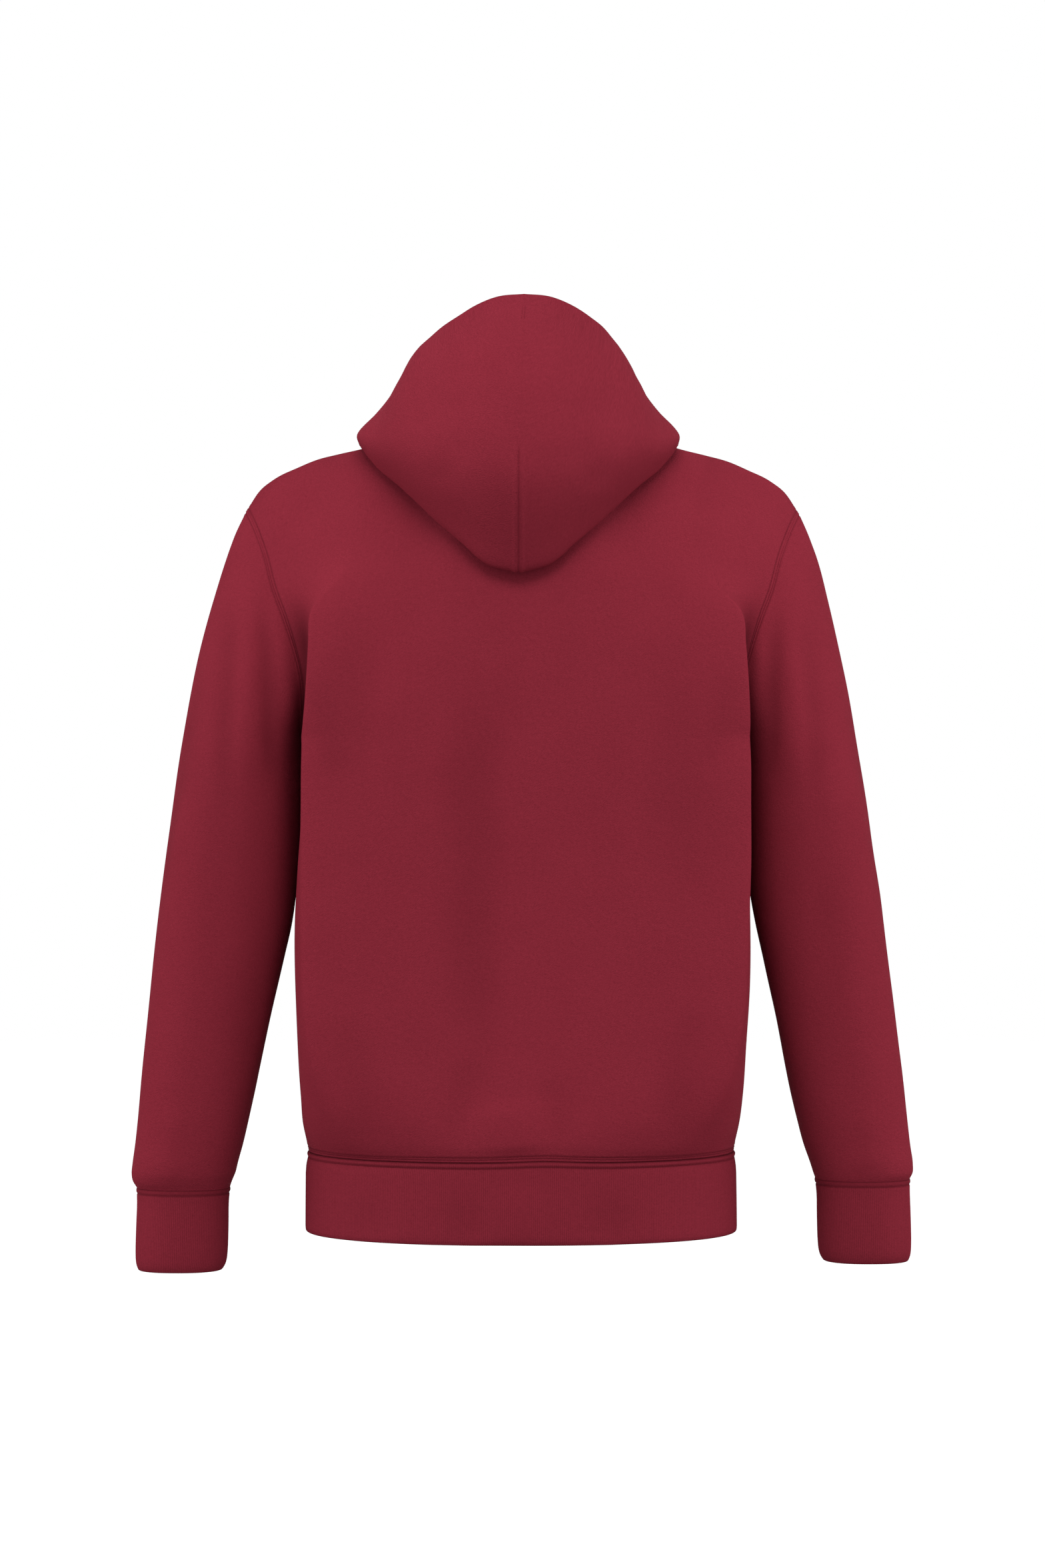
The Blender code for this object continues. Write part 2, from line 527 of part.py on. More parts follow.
def wall_sides():
    """Outside and inside points of every patch, with shared seams drawn back by half the gap and mitred."""
    seams = {}
    for patch in PATCHES:
        patch["normals"] = patch_normals(patch)
        patch["edges"] = boundary(patch)
        for edge, inner in patch["edges"].items():
            into = patch["grid"][inner] - patch["grid"][edge]
            into = into / np.linalg.norm(into)
            meeting = seams.setdefault(seam_key(patch["grid"][edge]), [])
            meeting.append((patch["name"], into, patch["normals"][edge]))
    for patch in PATCHES:
        outside = patch["grid"].copy()
        offset = patch["normals"] * np.array(patch["thickness"])[..., None]
        for edge in patch["edges"]:
            meeting = seams[seam_key(patch["grid"][edge])]
            others = [m for m in meeting if m[0] != patch["name"]]
            if not others:
                continue
            _, into, normal = [m for m in meeting if m[0] == patch["name"]][0]
            across = sum(m[1] for m in others) / len(others)
            apart = (into - across) / np.linalg.norm(into - across)
            outside[edge] = outside[edge] + apart * SEAM_GAP / 2
            shared = sum(m[2] for m in meeting)
            shared = shared / np.linalg.norm(shared)
            lean = float(shared.dot(normal))
            ridge = normal.dot(across) < 0 and lean > RIDGE_LEAN
            if patch["mitred"] and (lean > MITRE_LEAN or ridge):
                offset[edge] = shared / lean * np.linalg.norm(offset[edge])
        patch["outside"] = outside
        patch["inside"] = outside - offset


def build_wall(name, outside, inside, closed, material):
    """A closed wall between two grids of points."""
    rows, cols = outside.shape[:2]
    span = cols if closed else cols - 1
    mesh = bmesh.new()
    out = [[mesh.verts.new(p) for p in row] for row in outside]
    inn = [[mesh.verts.new(p) for p in row] for row in inside]
    for r in range(rows - 1):
        for c in range(span):
            d = (c + 1) % cols
            mesh.faces.new((out[r][c], out[r][d], out[r + 1][d], out[r + 1][c]))
            mesh.faces.new((inn[r][c], inn[r + 1][c], inn[r + 1][d], inn[r][d]))
    for c in range(span):
        d = (c + 1) % cols
        mesh.faces.new((out[0][d], out[0][c], inn[0][c], inn[0][d]))
        mesh.faces.new((out[-1][c], out[-1][d], inn[-1][d], inn[-1][c]))
    if not closed:
        for r in range(rows - 1):
            mesh.faces.new((out[r][0], out[r + 1][0], inn[r + 1][0], inn[r][0]))
            mesh.faces.new((out[r + 1][-1], out[r][-1], inn[r][-1], inn[r + 1][-1]))
    bmesh.ops.triangulate(mesh, faces=mesh.faces[:], quad_method="SHORT_EDGE")
    bmesh.ops.recalc_face_normals(mesh, faces=mesh.faces[:])
    return add_object(name, mesh, material)


def add_object(name, mesh, material, smooth=True):
    data = bpy.data.meshes.new(name)
    mesh.to_mesh(data)
    mesh.free()
    data.materials.append(material)
    if smooth:
        data.shade_smooth()
        data.set_sharp_from_angle(angle=radians(50))
    thing = bpy.data.objects.new(name, data)
    bpy.context.scene.collection.objects.link(thing)
    return thing


def make_material(name, colour, roughness, metallic=0.0):
    material = bpy.data.materials.new(name)
    material.use_nodes = True
    shader = material.node_tree.nodes["Principled BSDF"]
    shader.inputs["Base Color"].default_value = (*colour, 1.0)
    shader.inputs["Roughness"].default_value = roughness
    shader.inputs["Metallic"].default_value = metallic
    return material


def build_panels(fleece):
    """The back, in one piece, and the two fronts."""
    back = {side: half_panel("back", side) for side in ("left", "right")}
    front = {side: half_panel("front", side) for side in ("left", "right")}
    whole_back = np.concatenate([back["left"][:, ::-1], mirrored(back["right"][:, 1:])], axis=1)
    add_patch("back", whole_back, cloth(whole_back, FLEECE), fleece)
    add_patch("front_left", front["left"], cloth(front["left"], FLEECE), fleece)
    right = mirrored(front["right"])[:, ::-1]
    add_patch("front_right", right, cloth(right, FLEECE), fleece)
    return whole_back, front["left"], right


def cloth(grid, thickness):
    """The same thickness at every point of a grid."""
    return np.full(np.array(grid).shape[:2], thickness)


def build_waistband(rib):
    """The hem's rib band, one strip from front edge to front edge."""
    rows = []
    for z in (HEM_BOTTOM, HEM_BOTTOM + 0.002, -0.6400, -0.6140, HEM_SEAM):
        turn = 0.975 if z == HEM_BOTTOM else 1.0
        front = {side: np.array(body_row("front", side, z)) for side in ("left", "right")}
        back = {side: np.array(body_row("back", side, z)) for side in ("left", "right")}
        left = np.vstack([front["left"], back["left"][-2::-1]])
        right = mirrored(np.vstack([front["right"], back["right"][-2::-1]]))
        row = np.vstack([left, right[-2::-1]])
        rows.append(row * np.array([1.0, turn, 1.0]) if turn != 1.0 else row)
    add_patch("waistband", rows, cloth(rows, RIB), rib)


def build_sleeves(fleece, rib):
    for side in ("left", "right"):
        sleeve = sleeve_grid(side)
        cuff = cuff_grid(sleeve[-1])
        if side == "right":
            sleeve, cuff = mirrored(sleeve), mirrored(cuff)
        else:
            sleeve, cuff = sleeve[:, ::-1], cuff[:, ::-1]
        add_patch("sleeve_" + side, sleeve[::-1], cloth(sleeve, FLEECE), fleece, closed=True)
        add_patch("cuff_" + side, cuff[::-1], cloth(cuff, RIB), rib, closed=True)


def build_hood(fleece, panels):
    back, left, right = panels
    first = len(SIDE_PLACES)
    neck_back = back[-1, first : first + 2 * NECK_COLUMNS + 1]
    neck_left = left[-1, : NECK_COLUMNS + 1]
    neck_right = right[-1, -NECK_COLUMNS - 1 :]
    neckline = np.vstack([neck_left[:-1], neck_back, neck_right[1:]])
    grid = hood_grid(neckline, body_surface(panels))
    thickness = cloth(grid, FLEECE)
    thickness[int(CASING_PLACE * HOOD_ROWS) :] = HOOD_CASING
    add_patch("hood", grid, thickness, fleece, mitred=False)


def sweep(name, rings, material):
    """A closed body through rings of points that all run the same way round."""
    mesh = bmesh.new()
    verts = [[mesh.verts.new(p) for p in ring] for ring in rings]
    count = len(rings[0])
    for low, high in zip(verts, verts[1:]):
        for c in range(count):
            d = (c + 1) % count
            mesh.faces.new((low[c], low[d], high[d], high[c]))
    mesh.faces.new(verts[0][::-1])
    mesh.faces.new(verts[-1])
    bmesh.ops.triangulate(mesh, faces=mesh.faces[:])
    bmesh.ops.recalc_face_normals(mesh, faces=mesh.faces[:])
    return add_object(name, mesh, material)


def block_body(name, cuts, filled, frame, rounding, material):
    """A body of boxes between cuts along x, up the zip and outwards, placed in a frame and rounded."""
    origin, up, out = frame
    sideways = Vector((1, 0, 0))
    mesh = bmesh.new()
    corners = {}

    def corner(index):
        if index not in corners:
            x, t, h = (cuts[k][index[k]] for k in range(3))
            corners[index] = mesh.verts.new(origin + sideways * x + up * t + out * h)
        return corners[index]

    for cell in filled:
        for axis in range(3):
            for step in (0, 1):
                beside = list(cell)
                beside[axis] += 2 * step - 1
                if tuple(beside) in filled:
                    continue
                one, two = [k for k in range(3) if k != axis]
                face = []
                for i, j in ((0, 0), (1, 0), (1, 1), (0, 1)):
                    index = list(cell)
                    index[axis] += step
                    index[one] += i
                    index[two] += j
                    face.append(corner(tuple(index)))
                mesh.faces.new(face)
    bmesh.ops.recalc_face_normals(mesh, faces=mesh.faces[:])
    bmesh.ops.dissolve_limit(mesh, angle_limit=radians(1), verts=mesh.verts[:], edges=mesh.edges[:])
    sharp = [edge for edge in mesh.edges if edge.calc_face_angle(0.0) > radians(30)]
    bmesh.ops.bevel(mesh, geom=sharp, offset=rounding, segments=2, profile=0.6, affect="EDGES", clamp_overlap=True)
    bmesh.ops.triangulate(mesh, faces=mesh.faces[:])
    bmesh.ops.recalc_face_normals(mesh, faces=mesh.faces[:])
    return add_object(name, mesh, material)


def zip_line():
    """The fronts' outside along the zip, from above the hem to the neckline."""
    grids = {patch["name"]: patch["grid"] for patch in PATCHES}
    line = np.vstack([grids["waistband"][1:-1, 0], grids["front_left"][:, 0]])
    line[:, 0] = 0.0
    return line


def line_frames(line, shares):
    """Places along a line with the directions up along it and out of the cloth."""
    points = along(line, shares)
    after = along(line, np.clip(np.array(shares) + 0.002, 0, 1))
    before = along(line, np.clip(np.array(shares) - 0.002, 0, 1))
    frames = []
    for point, run in zip(points, after - before):
        up = Vector(run).normalized()
        frames.append((Vector(point), up, Vector((0, -up.z, up.y))))
    return frames


def build_tape(side, line, start, end, material):
    """One zip tape with its half of the chain as a raised edge."""
    turn = 1 if side == "left" else -1
    chain_edge = TAPE_HALF_GAP + CHAIN_WIDTH
    far_edge = TAPE_HALF_GAP + TAPE_WIDTH
    back = TAPE_DEPTH + TAPE_THICKNESS
    profile = (
        (TAPE_HALF_GAP, TAPE_DEPTH - CHAIN_HEIGHT),
        (chain_edge, TAPE_DEPTH - CHAIN_HEIGHT),
        (chain_edge, TAPE_DEPTH),
        (far_edge, TAPE_DEPTH + TAPE_TURN),
        (far_edge, back + TAPE_TURN),
        (TAPE_HALF_GAP, back),
    )
    rings = []
    for point, _, out in line_frames(line, np.linspace(start, end, TAPE_ROWS)):
        rings.append([point + Vector((turn * x, 0, 0)) - out * depth for x, depth in profile])
    sweep("zip_tape_" + side, rings, material)


def build_slider(frame, metal):
    """Front and back plates joined by a post above the tapes' ends, with a lug for the pull tab."""
    half, length = SLIDER_WIDTH / 2, SLIDER_LENGTH / 2
    front_low = -(TAPE_DEPTH - CHAIN_HEIGHT - PLAY)
    front_high = front_low + SLIDER_PLATE
    back_high = -(TAPE_DEPTH + TAPE_THICKNESS + 0.6 * TAPE_TURN + PLAY)
    cuts = (
        (-half, -LUG_WIDTH / 2, LUG_WIDTH / 2, half),
        (-length, -LUG_LENGTH / 2, LUG_BAR - LUG_LENGTH / 2, LUG_LENGTH / 2 - LUG_BAR, length - SLIDER_POST, length),
        (back_high - SLIDER_PLATE, back_high, front_low, front_high, front_high + LUG_TUNNEL,
         front_high + LUG_TUNNEL + SLIDER_PLATE),
    )
    plates = {(i, j, h) for i in range(3) for j in range(5) for h in (0, 2)}
    post = {(i, 4, 1) for i in range(3)}
    lug = {(1, 1, 3), (1, 3, 3), (1, 1, 4), (1, 2, 4), (1, 3, 4)}
    block_body("zip_slider", cuts, plates | post | lug, frame, 0.0002, metal)
    return front_high + LUG_TUNNEL / 2


def build_pull(frame, axis_height, metal):
    """The pull tab on its crossbar, which lies on the hinge axis in the lug's tunnel."""
    origin, up, out = frame
    half = PULL_THICKNESS / 2
    hole_x, hole_length = PULL_HOLE[0] / 2, PULL_HOLE[1]
    cuts = (
        (-PULL_WIDTH / 2, -PULL_FRAME / 2, -hole_x, hole_x, PULL_FRAME / 2, PULL_WIDTH / 2),
        (half - PULL_LENGTH, -half - hole_length, -half, half),
        (-half, half),
    )
    plate = {(i, 0, 0) for i in range(5)}
    arms = {(1, 1, 0), (3, 1, 0)}
    bar = {(i, 2, 0) for i in (1, 2, 3)}
    pull = block_body("zip_pull", cuts, plate | arms | bar, (Vector(), up, out), 0.0003, metal)
    pull.location = origin + out * axis_height


def build_zip(tape, metal):
    """Zip closed to just below the neckline, with its slider at the top and its box at the hem."""
    line = zip_line()
    total = np.linalg.norm(np.diff(line, axis=0), axis=1).sum()
    slider_place = 1 - (SLIDER_BELOW_NECK + SLIDER_LENGTH / 2) / total
    start = ZIP_ABOVE_HEM / total
    end = slider_place + (SLIDER_LENGTH / 2 - SLIDER_POST - PLAY) / total
    for side in ("left", "right"):
        build_tape(side, line, start, end, tape)
    slider_frame, box_frame = line_frames(line, (slider_place, start + BOX_LENGTH / 2 / total))
    axis_height = build_slider(slider_frame, metal)
    build_pull(slider_frame, axis_height, metal)
    box_low = -(TAPE_DEPTH - CHAIN_HEIGHT - PLAY)
    box = ((-BOX_WIDTH / 2, BOX_WIDTH / 2), (-BOX_LENGTH / 2, BOX_LENGTH / 2), (box_low, box_low + BOX_THICKNESS))
    block_body("zip_box", box, {(0, 0, 0)}, box_frame, 0.0004, metal)


def main():
    for thing in list(bpy.data.objects):
        bpy.data.objects.remove(thing)
    fleece = make_material("burgundy_fleece", (0.25, 0.022, 0.036), 0.9)
    rib = make_material("burgundy_rib", (0.21, 0.018, 0.030), 0.9)
    tape = make_material("burgundy_zip_tape", (0.13, 0.012, 0.020), 0.8)
    metal = make_material("nickel_zip_metal", (0.60, 0.58, 0.55), 0.35, 1.0)
    panels = build_panels(fleece)
    build_waistband(rib)
    build_sleeves(fleece, rib)
    build_hood(fleece, panels)
    build_zip(tape, metal)
    wall_sides()
    for patch in PATCHES:
        build_wall(patch["name"], patch["outside"], patch["inside"], patch["closed"], patch["material"])


main()
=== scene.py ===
import json
from math import atan2, cos, degrees, pi, radians, sin

import bpy
import numpy as np
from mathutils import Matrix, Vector, noise
from mathutils.bvhtree import BVHTree

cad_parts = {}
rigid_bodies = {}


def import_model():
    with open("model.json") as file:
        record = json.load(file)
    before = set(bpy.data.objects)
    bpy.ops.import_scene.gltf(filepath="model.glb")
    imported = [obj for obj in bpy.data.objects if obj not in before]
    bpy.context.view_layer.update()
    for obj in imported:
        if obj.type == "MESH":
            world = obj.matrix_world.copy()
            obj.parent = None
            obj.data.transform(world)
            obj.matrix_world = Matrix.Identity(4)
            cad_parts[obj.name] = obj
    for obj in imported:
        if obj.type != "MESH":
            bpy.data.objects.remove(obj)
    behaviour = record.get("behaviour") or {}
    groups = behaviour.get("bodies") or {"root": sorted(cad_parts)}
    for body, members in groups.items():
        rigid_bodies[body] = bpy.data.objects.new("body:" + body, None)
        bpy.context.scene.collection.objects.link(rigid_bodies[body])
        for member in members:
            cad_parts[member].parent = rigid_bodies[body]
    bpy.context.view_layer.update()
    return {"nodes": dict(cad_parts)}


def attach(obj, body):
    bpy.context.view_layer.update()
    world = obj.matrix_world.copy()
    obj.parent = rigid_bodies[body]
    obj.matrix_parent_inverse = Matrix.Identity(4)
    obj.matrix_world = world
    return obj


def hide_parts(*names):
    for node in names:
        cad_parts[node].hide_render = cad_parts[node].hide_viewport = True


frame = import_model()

print("frame loaded")


# measures of the cut, in metres
cut = {
    "fleece": 0.0022,            # cloth thickness
    "rib": 0.0026,
    "hoodCasing": 0.0040,        # turned rim of the hood
    "seamPull": 0.45,            # how far a rolled edge is drawn back, in its radius
    "seamPullReach": 0.006,
    "hemBottom": -0.6730,
    "hemSeam": -0.6050,
    "armpit": -0.2500,
    "cuffLength": 0.0708,
    "cuffLean": 0.0018,
    "neckHalfWidth": 0.0880,
    "neckHigh": 0.0130,
    "sideSeamDepth": -0.0050,
    "rightShoulderDrop": 0.0020,
    "dropOut": (0.09, 0.11),     # where it starts, and over which length it comes in: outwards and upwards
    "dropUp": (-0.20, 0.12),
    "frontEdge": 0.0060,         # the fronts stop this far from the middle, beside the zip
    "neckPlace": 0.38,           # place of the neck point across the body, 0 centre and 1 side
    "foldPlace": 0.68,           # place of the back's side fold
    "stitchFromSeam": 0.0024,
    "hemStitches": (0.0024, 0.0046),
    "frontStitches": 0.0048,     # beside the zip
    "seamRoll": 0.0004,          # radius of a rolled edge at a seam, and at the rib band's seam
    "hemRoll": 0.0009,
    "freeRoll": 0.0010,          # and where an edge ends free
    "hemRise": 0.0016,           # the band's seam is this much higher near the middle of the back
    "hemRiseAt": -0.0180,
    "hemRiseWidth": 0.0340,
    "hemRiseReach": 0.0200,
    "ribPitch": 0.0016,
}
neckLow = {"back": (0.0720, -0.0200, 1.00), "front": (-0.0880, -0.0750, 1.35)}
shoulderPoint = np.array([0.2380, -0.0050, -0.0534])
cuffSeam = {"Left": -0.6385, "Right": -0.6305}
startOf = {"back": 0.0, "front": cut["frontEdge"]}


def columnsOf(names, rows):                  # a table with named columns, sorted by its first one
    return dict(zip(names.split(), np.array(sorted(rows), float).T))


bodyTable = columnsOf("z seamLeft seamRight foldLeft foldRight bulgeLeft bulgeRight back front square crest", [
    (-0.6730, 0.1872, 0.1850, 0.1850, 0.1828, 0.0000, 0.0000, 0.1290, -0.1110, 2.30, 0.00),
    (-0.6400, 0.1868, 0.1845, 0.1850, 0.1826, 0.0000, 0.0000, 0.1285, -0.1110, 2.30, 0.00),
    (-0.6180, 0.1862, 0.1838, 0.1842, 0.1818, 0.0000, 0.0000, 0.1275, -0.1105, 2.35, 0.00),
    (-0.6050, 0.1842, 0.1820, 0.1826, 0.1802, 0.0000, 0.0000, 0.1275, -0.1100, 2.40, 0.00),
    (-0.5960, 0.1862, 0.1834, 0.1842, 0.1812, 0.0000, 0.0000, 0.1305, -0.1125, 2.60, 0.05),
    (-0.5820, 0.1885, 0.1852, 0.1852, 0.1832, 0.0010, 0.0010, 0.1320, -0.1140, 2.90, 0.15),
    (-0.5550, 0.1898, 0.1880, 0.1858, 0.1860, 0.0010, 0.0010, 0.1310, -0.1145, 3.60, 0.40),
    (-0.5100, 0.1915, 0.1905, 0.1858, 0.1878, 0.0015, 0.0010, 0.1280, -0.1140, 4.60, 0.75),
    (-0.4600, 0.1930, 0.1935, 0.1855, 0.1892, 0.0020, 0.0010, 0.1255, -0.1135, 5.40, 0.95),
    (-0.4100, 0.1944, 0.1942, 0.1854, 0.1896, 0.0012, 0.0005, 0.1245, -0.1140, 6.00, 1.00),
    (-0.3600, 0.1905, 0.1905, 0.1853, 0.1912, 0.0015, 0.0000, 0.1245, -0.1155, 6.00, 1.00),
    (-0.3100, 0.1858, 0.1860, 0.1853, 0.1915, 0.0000, -0.0010, 0.1255, -0.1170, 6.00, 1.00),
    (-0.2720, 0.1850, 0.1850, 0.1853, 0.1915, 0.0000, -0.0010, 0.1268, -0.1175, 5.80, 1.00),
    (-0.2500, 0.1875, 0.1875, 0.1855, 0.1913, 0.0000, -0.0010, 0.1272, -0.1172, 5.40, 0.95),
])
yokeTable = columnsOf("share backZ frontZ foldLeft foldRight bulgeLeft bulgeRight square crest valley", [
    (0.00, -0.250, -0.250, 0.1855, 0.1913, 0.0000, -0.0010, 5.40, 0.95, 0.00),
    (0.10, -0.225, -0.232, 0.1848, 0.1916, 0.0000, -0.0010, 5.40, 0.95, 0.70),
    (0.20, -0.200, -0.215, 0.1836, 0.1914, 0.0000, -0.0010, 5.40, 0.95, 1.00),
    (0.40, -0.155, -0.182, 0.1826, 0.1900, 0.0000, 0.0000, 5.20, 0.95, 1.00),
    (0.50, -0.133, -0.166, 0.1850, 0.1915, 0.0000, 0.0000, 4.60, 0.82, 1.00),
    (0.60, -0.112, -0.150, 0.1850, 0.1880, 0.0000, 0.0000, 3.30, 0.22, 0.60),
    (0.80, -0.068, -0.116, 0.1960, 0.1960, 0.0000, 0.0000, 2.50, 0.00, 0.00),
    (1.00, -0.020, -0.075, 0.2380, 0.2350, 0.0000, 0.0000, 2.20, 0.00, 0.00),
])
centreTable = {
    "back": columnsOf("z y", [
        (-0.250, 0.1272), (-0.200, 0.1275), (-0.150, 0.1260), (-0.110, 0.1205),
        (-0.080, 0.1130), (-0.055, 0.1020), (-0.035, 0.0880), (-0.020, 0.0720),
    ]),
    "front": columnsOf("z y", [
        (-0.250, -0.1172), (-0.220, -0.1160), (-0.170, -0.1125),
        (-0.130, -0.1055), (-0.100, -0.0965), (-0.075, -0.0880),
    ]),
}
shoulderTable = columnsOf("x z", [
    (0.0880, 0.0130), (0.1120, 0.0065), (0.1390, -0.0008), (0.1586, -0.0052), (0.1776, -0.0100), (0.1937, -0.0166),
    (0.2149, -0.0270), (0.2276, -0.0375), (0.2380, -0.0534),
])
armholeLine = {                              # from the armpit to the shoulder point: x y z
    "back": [
        (0.1875, -0.005, -0.2500), (0.1874, 0.020, -0.2400), (0.1868, 0.044, -0.2170), (0.1882, 0.056, -0.1950),
        (0.1938, 0.059, -0.1730), (0.2020, 0.057, -0.1480), (0.2120, 0.048, -0.1220), (0.2200, 0.034, -0.0940),
        (0.2300, 0.014, -0.0690), (0.2380, -0.005, -0.0534),
    ],
    "front": [
        (0.1875, -0.005, -0.2500), (0.1872, -0.030, -0.2390), (0.1856, -0.053, -0.2150), (0.1845, -0.066, -0.1880),
        (0.1865, -0.071, -0.1600), (0.1930, -0.067, -0.1330), (0.2050, -0.056, -0.1070), (0.2180, -0.037, -0.0820),
        (0.2300, -0.019, -0.0640), (0.2380, -0.005, -0.0534),
    ],
}
sleeveTable = columnsOf("z outerLeft innerLeft outerRight innerRight middle halfDepth", [
    (-0.0534, 0.2380, 0.1850, 0.2350, 0.1850, -0.005, 0.030),
    (-0.0736, 0.2477, 0.1860, 0.2440, 0.1860, -0.005, 0.044),
    (-0.0966, 0.2557, 0.1870, 0.2523, 0.1870, -0.005, 0.056),
    (-0.1310, 0.2661, 0.1880, 0.2615, 0.1880, -0.005, 0.068),
    (-0.1770, 0.2787, 0.1890, 0.2724, 0.1890, -0.005, 0.076),
    (-0.2115, 0.2862, 0.1895, 0.2799, 0.1895, -0.005, 0.078),
    (-0.2575, 0.2948, 0.1900, 0.2885, 0.1910, -0.005, 0.077),
    (-0.3034, 0.3017, 0.1902, 0.2966, 0.1920, -0.006, 0.073),
    (-0.3494, 0.3082, 0.1915, 0.3036, 0.1935, -0.007, 0.068),
    (-0.3850, 0.3125, 0.1952, 0.3092, 0.1958, -0.008, 0.064),
    (-0.4069, 0.3150, 0.1984, 0.3120, 0.1994, -0.009, 0.062),
    (-0.4414, 0.3188, 0.2063, 0.3162, 0.2069, -0.010, 0.059),
    (-0.4874, 0.3236, 0.2167, 0.3221, 0.2174, -0.012, 0.056),
    (-0.5333, 0.3284, 0.2264, 0.3274, 0.2274, -0.014, 0.053),
    (-0.5793, 0.3328, 0.2368, 0.3324, 0.2380, -0.016, 0.050),
    (-0.6023, 0.3354, 0.2425, 0.3352, 0.2440, -0.017, 0.048),
    (-0.6180, 0.3374, 0.2470, 0.3374, 0.2495, -0.017, 0.046),
    (-0.6260, 0.3381, 0.2490, 0.3372, 0.2520, -0.017, 0.044),
    (-0.6320, 0.3372, 0.2515, 0.3345, 0.2540, -0.017, 0.041),
    (-0.6400, 0.3330, 0.2540, 0.3320, 0.2540, -0.017, 0.037),
])
hoodTable = columnsOf("angle rollR rollZ underR underZ foldR foldZ bellyR bellyZ domeR domeZ rimR rimZ", [
    (0, 0.0840, 0.012, 0.1240, -0.060, 0.1345, -0.1150, 0.1850, -0.036, 0.1650, 0.065, 0.1080, 0.1200),
    (12, 0.0845, 0.013, 0.1220, -0.055, 0.1330, -0.1068, 0.1810, -0.026, 0.1600, 0.063, 0.1080, 0.1180),
    (22, 0.0855, 0.015, 0.1190, -0.042, 0.1305, -0.0875, 0.1740, -0.020, 0.1525, 0.060, 0.1080, 0.1115),
    (32, 0.0865, 0.017, 0.1150, -0.031, 0.1280, -0.0706, 0.1650, -0.013, 0.1430, 0.057, 0.1080, 0.1020),
    (42, 0.0880, 0.020, 0.1120, -0.020, 0.1265, -0.0535, 0.1560, -0.007, 0.1370, 0.053, 0.1070, 0.0935),
    (52, 0.0895, 0.023, 0.1110, -0.009, 0.1270, -0.0388, 0.1480, -0.003, 0.1290, 0.048, 0.1050, 0.0815),
    (63, 0.0915, 0.027, 0.1130, 0.002, 0.1310, -0.0248, 0.1430, 0.001, 0.1215, 0.040, 0.1020, 0.0670),
    (76, 0.0940, 0.030, 0.1160, 0.009, 0.1385, -0.0035, 0.1422, 0.007, 0.1180, 0.035, 0.1000, 0.0540),
    (90, 0.0950, 0.031, 0.1160, 0.012, 0.1350, 0.0020, 0.1385, 0.012, 0.1150, 0.033, 0.0980, 0.0440),
    (105, 0.0930, 0.022, 0.1100, 0.010, 0.1220, 0.0020, 0.1270, 0.011, 0.1120, 0.027, 0.0960, 0.0340),
    (120, 0.0900, 0.006, 0.1010, 0.001, 0.1110, -0.0020, 0.1150, 0.006, 0.1060, 0.015, 0.0930, 0.0200),
    (135, 0.0900, -0.016, 0.0960, -0.014, 0.1030, -0.0110, 0.1070, -0.004, 0.1020, 0.003, 0.0910, 0.0060),
    (150, 0.0900, -0.038, 0.0945, -0.032, 0.0985, -0.0260, 0.1010, -0.020, 0.0980, -0.014, 0.0900, -0.0100),
    (165, 0.0895, -0.060, 0.0920, -0.054, 0.0940, -0.0480, 0.0955, -0.042, 0.0940, -0.036, 0.0895, -0.0310),
    (180, 0.0890, -0.070, 0.0905, -0.065, 0.0920, -0.0600, 0.0930, -0.055, 0.0925, -0.050, 0.0890, -0.0460),
])


# lines and grids
def readAt(table, column, at):               # reads a column on a smooth curve through the rows
    keys, values = next(iter(table.values())), table[column]
    slopes = np.gradient(values, keys)
    at = np.clip(at, keys[0], keys[-1])
    i = np.clip(np.searchsorted(keys, at) - 1, 0, len(keys) - 2)
    step = keys[i + 1] - keys[i]
    t = (at - keys[i]) / step
    low = (1 + 2 * t) * (1 - t) ** 2 * values[i] + t * (1 - t) ** 2 * step * slopes[i]
    return low + t * t * (3 - 2 * t) * values[i + 1] - t * t * (1 - t) * step * slopes[i + 1]


def curveThrough(points, steps=24):          # centripetal Catmull-Rom
    p = np.array(points, float)
    p = np.vstack([2 * p[0] - p[1], p, 2 * p[-1] - p[-2]])
    knots = np.concatenate([[0], np.cumsum(np.sqrt(np.linalg.norm(np.diff(p, axis=0), axis=1)))])
    line = []
    for i in range(1, len(p) - 2):
        k = knots[i - 1:i + 3]
        t = np.linspace(k[1], k[2], steps, endpoint=False)[:, None]
        a = [(k[j + 1] - t) / (k[j + 1] - k[j]) * p[i - 1 + j] + (t - k[j]) / (k[j + 1] - k[j]) * p[i + j]
             for j in range(3)]
        b = [(k[j + 2] - t) / (k[j + 2] - k[j]) * a[j] + (t - k[j]) / (k[j + 2] - k[j]) * a[j + 1] for j in range(2)]
        line.append((k[2] - t) / (k[2] - k[1]) * b[0] + (t - k[1]) / (k[2] - k[1]) * b[1])
    return np.vstack(line + [p[-2:-1]])


def lengthsAlong(line):
    return np.concatenate([[0], np.cumsum(np.linalg.norm(np.diff(line, axis=0), axis=1))])


def along(line, shares):                     # points of a line at shares of its length
    length = lengthsAlong(line)
    at = np.asarray(shares) * length[-1]
    return np.stack([np.interp(at, length, line[:, k]) for k in range(line.shape[1])], axis=1)


def ease(x):                                 # smooth step from 0 to 1
    x = np.clip(x, 0, 1)
    return x * x * (3 - 2 * x)


def reached(x, way):                         # 0 up to the start, 1 past the end: way is its start and length
    return np.clip((x - way[0]) / way[1], 0, 1)


def bell(x, at, width):                      # 1 at a place and soon 0 away from it
    return np.exp(-((x - at) / width) ** 2)


def unit(vectors):
    return vectors / np.linalg.norm(vectors, axis=-1, keepdims=True)


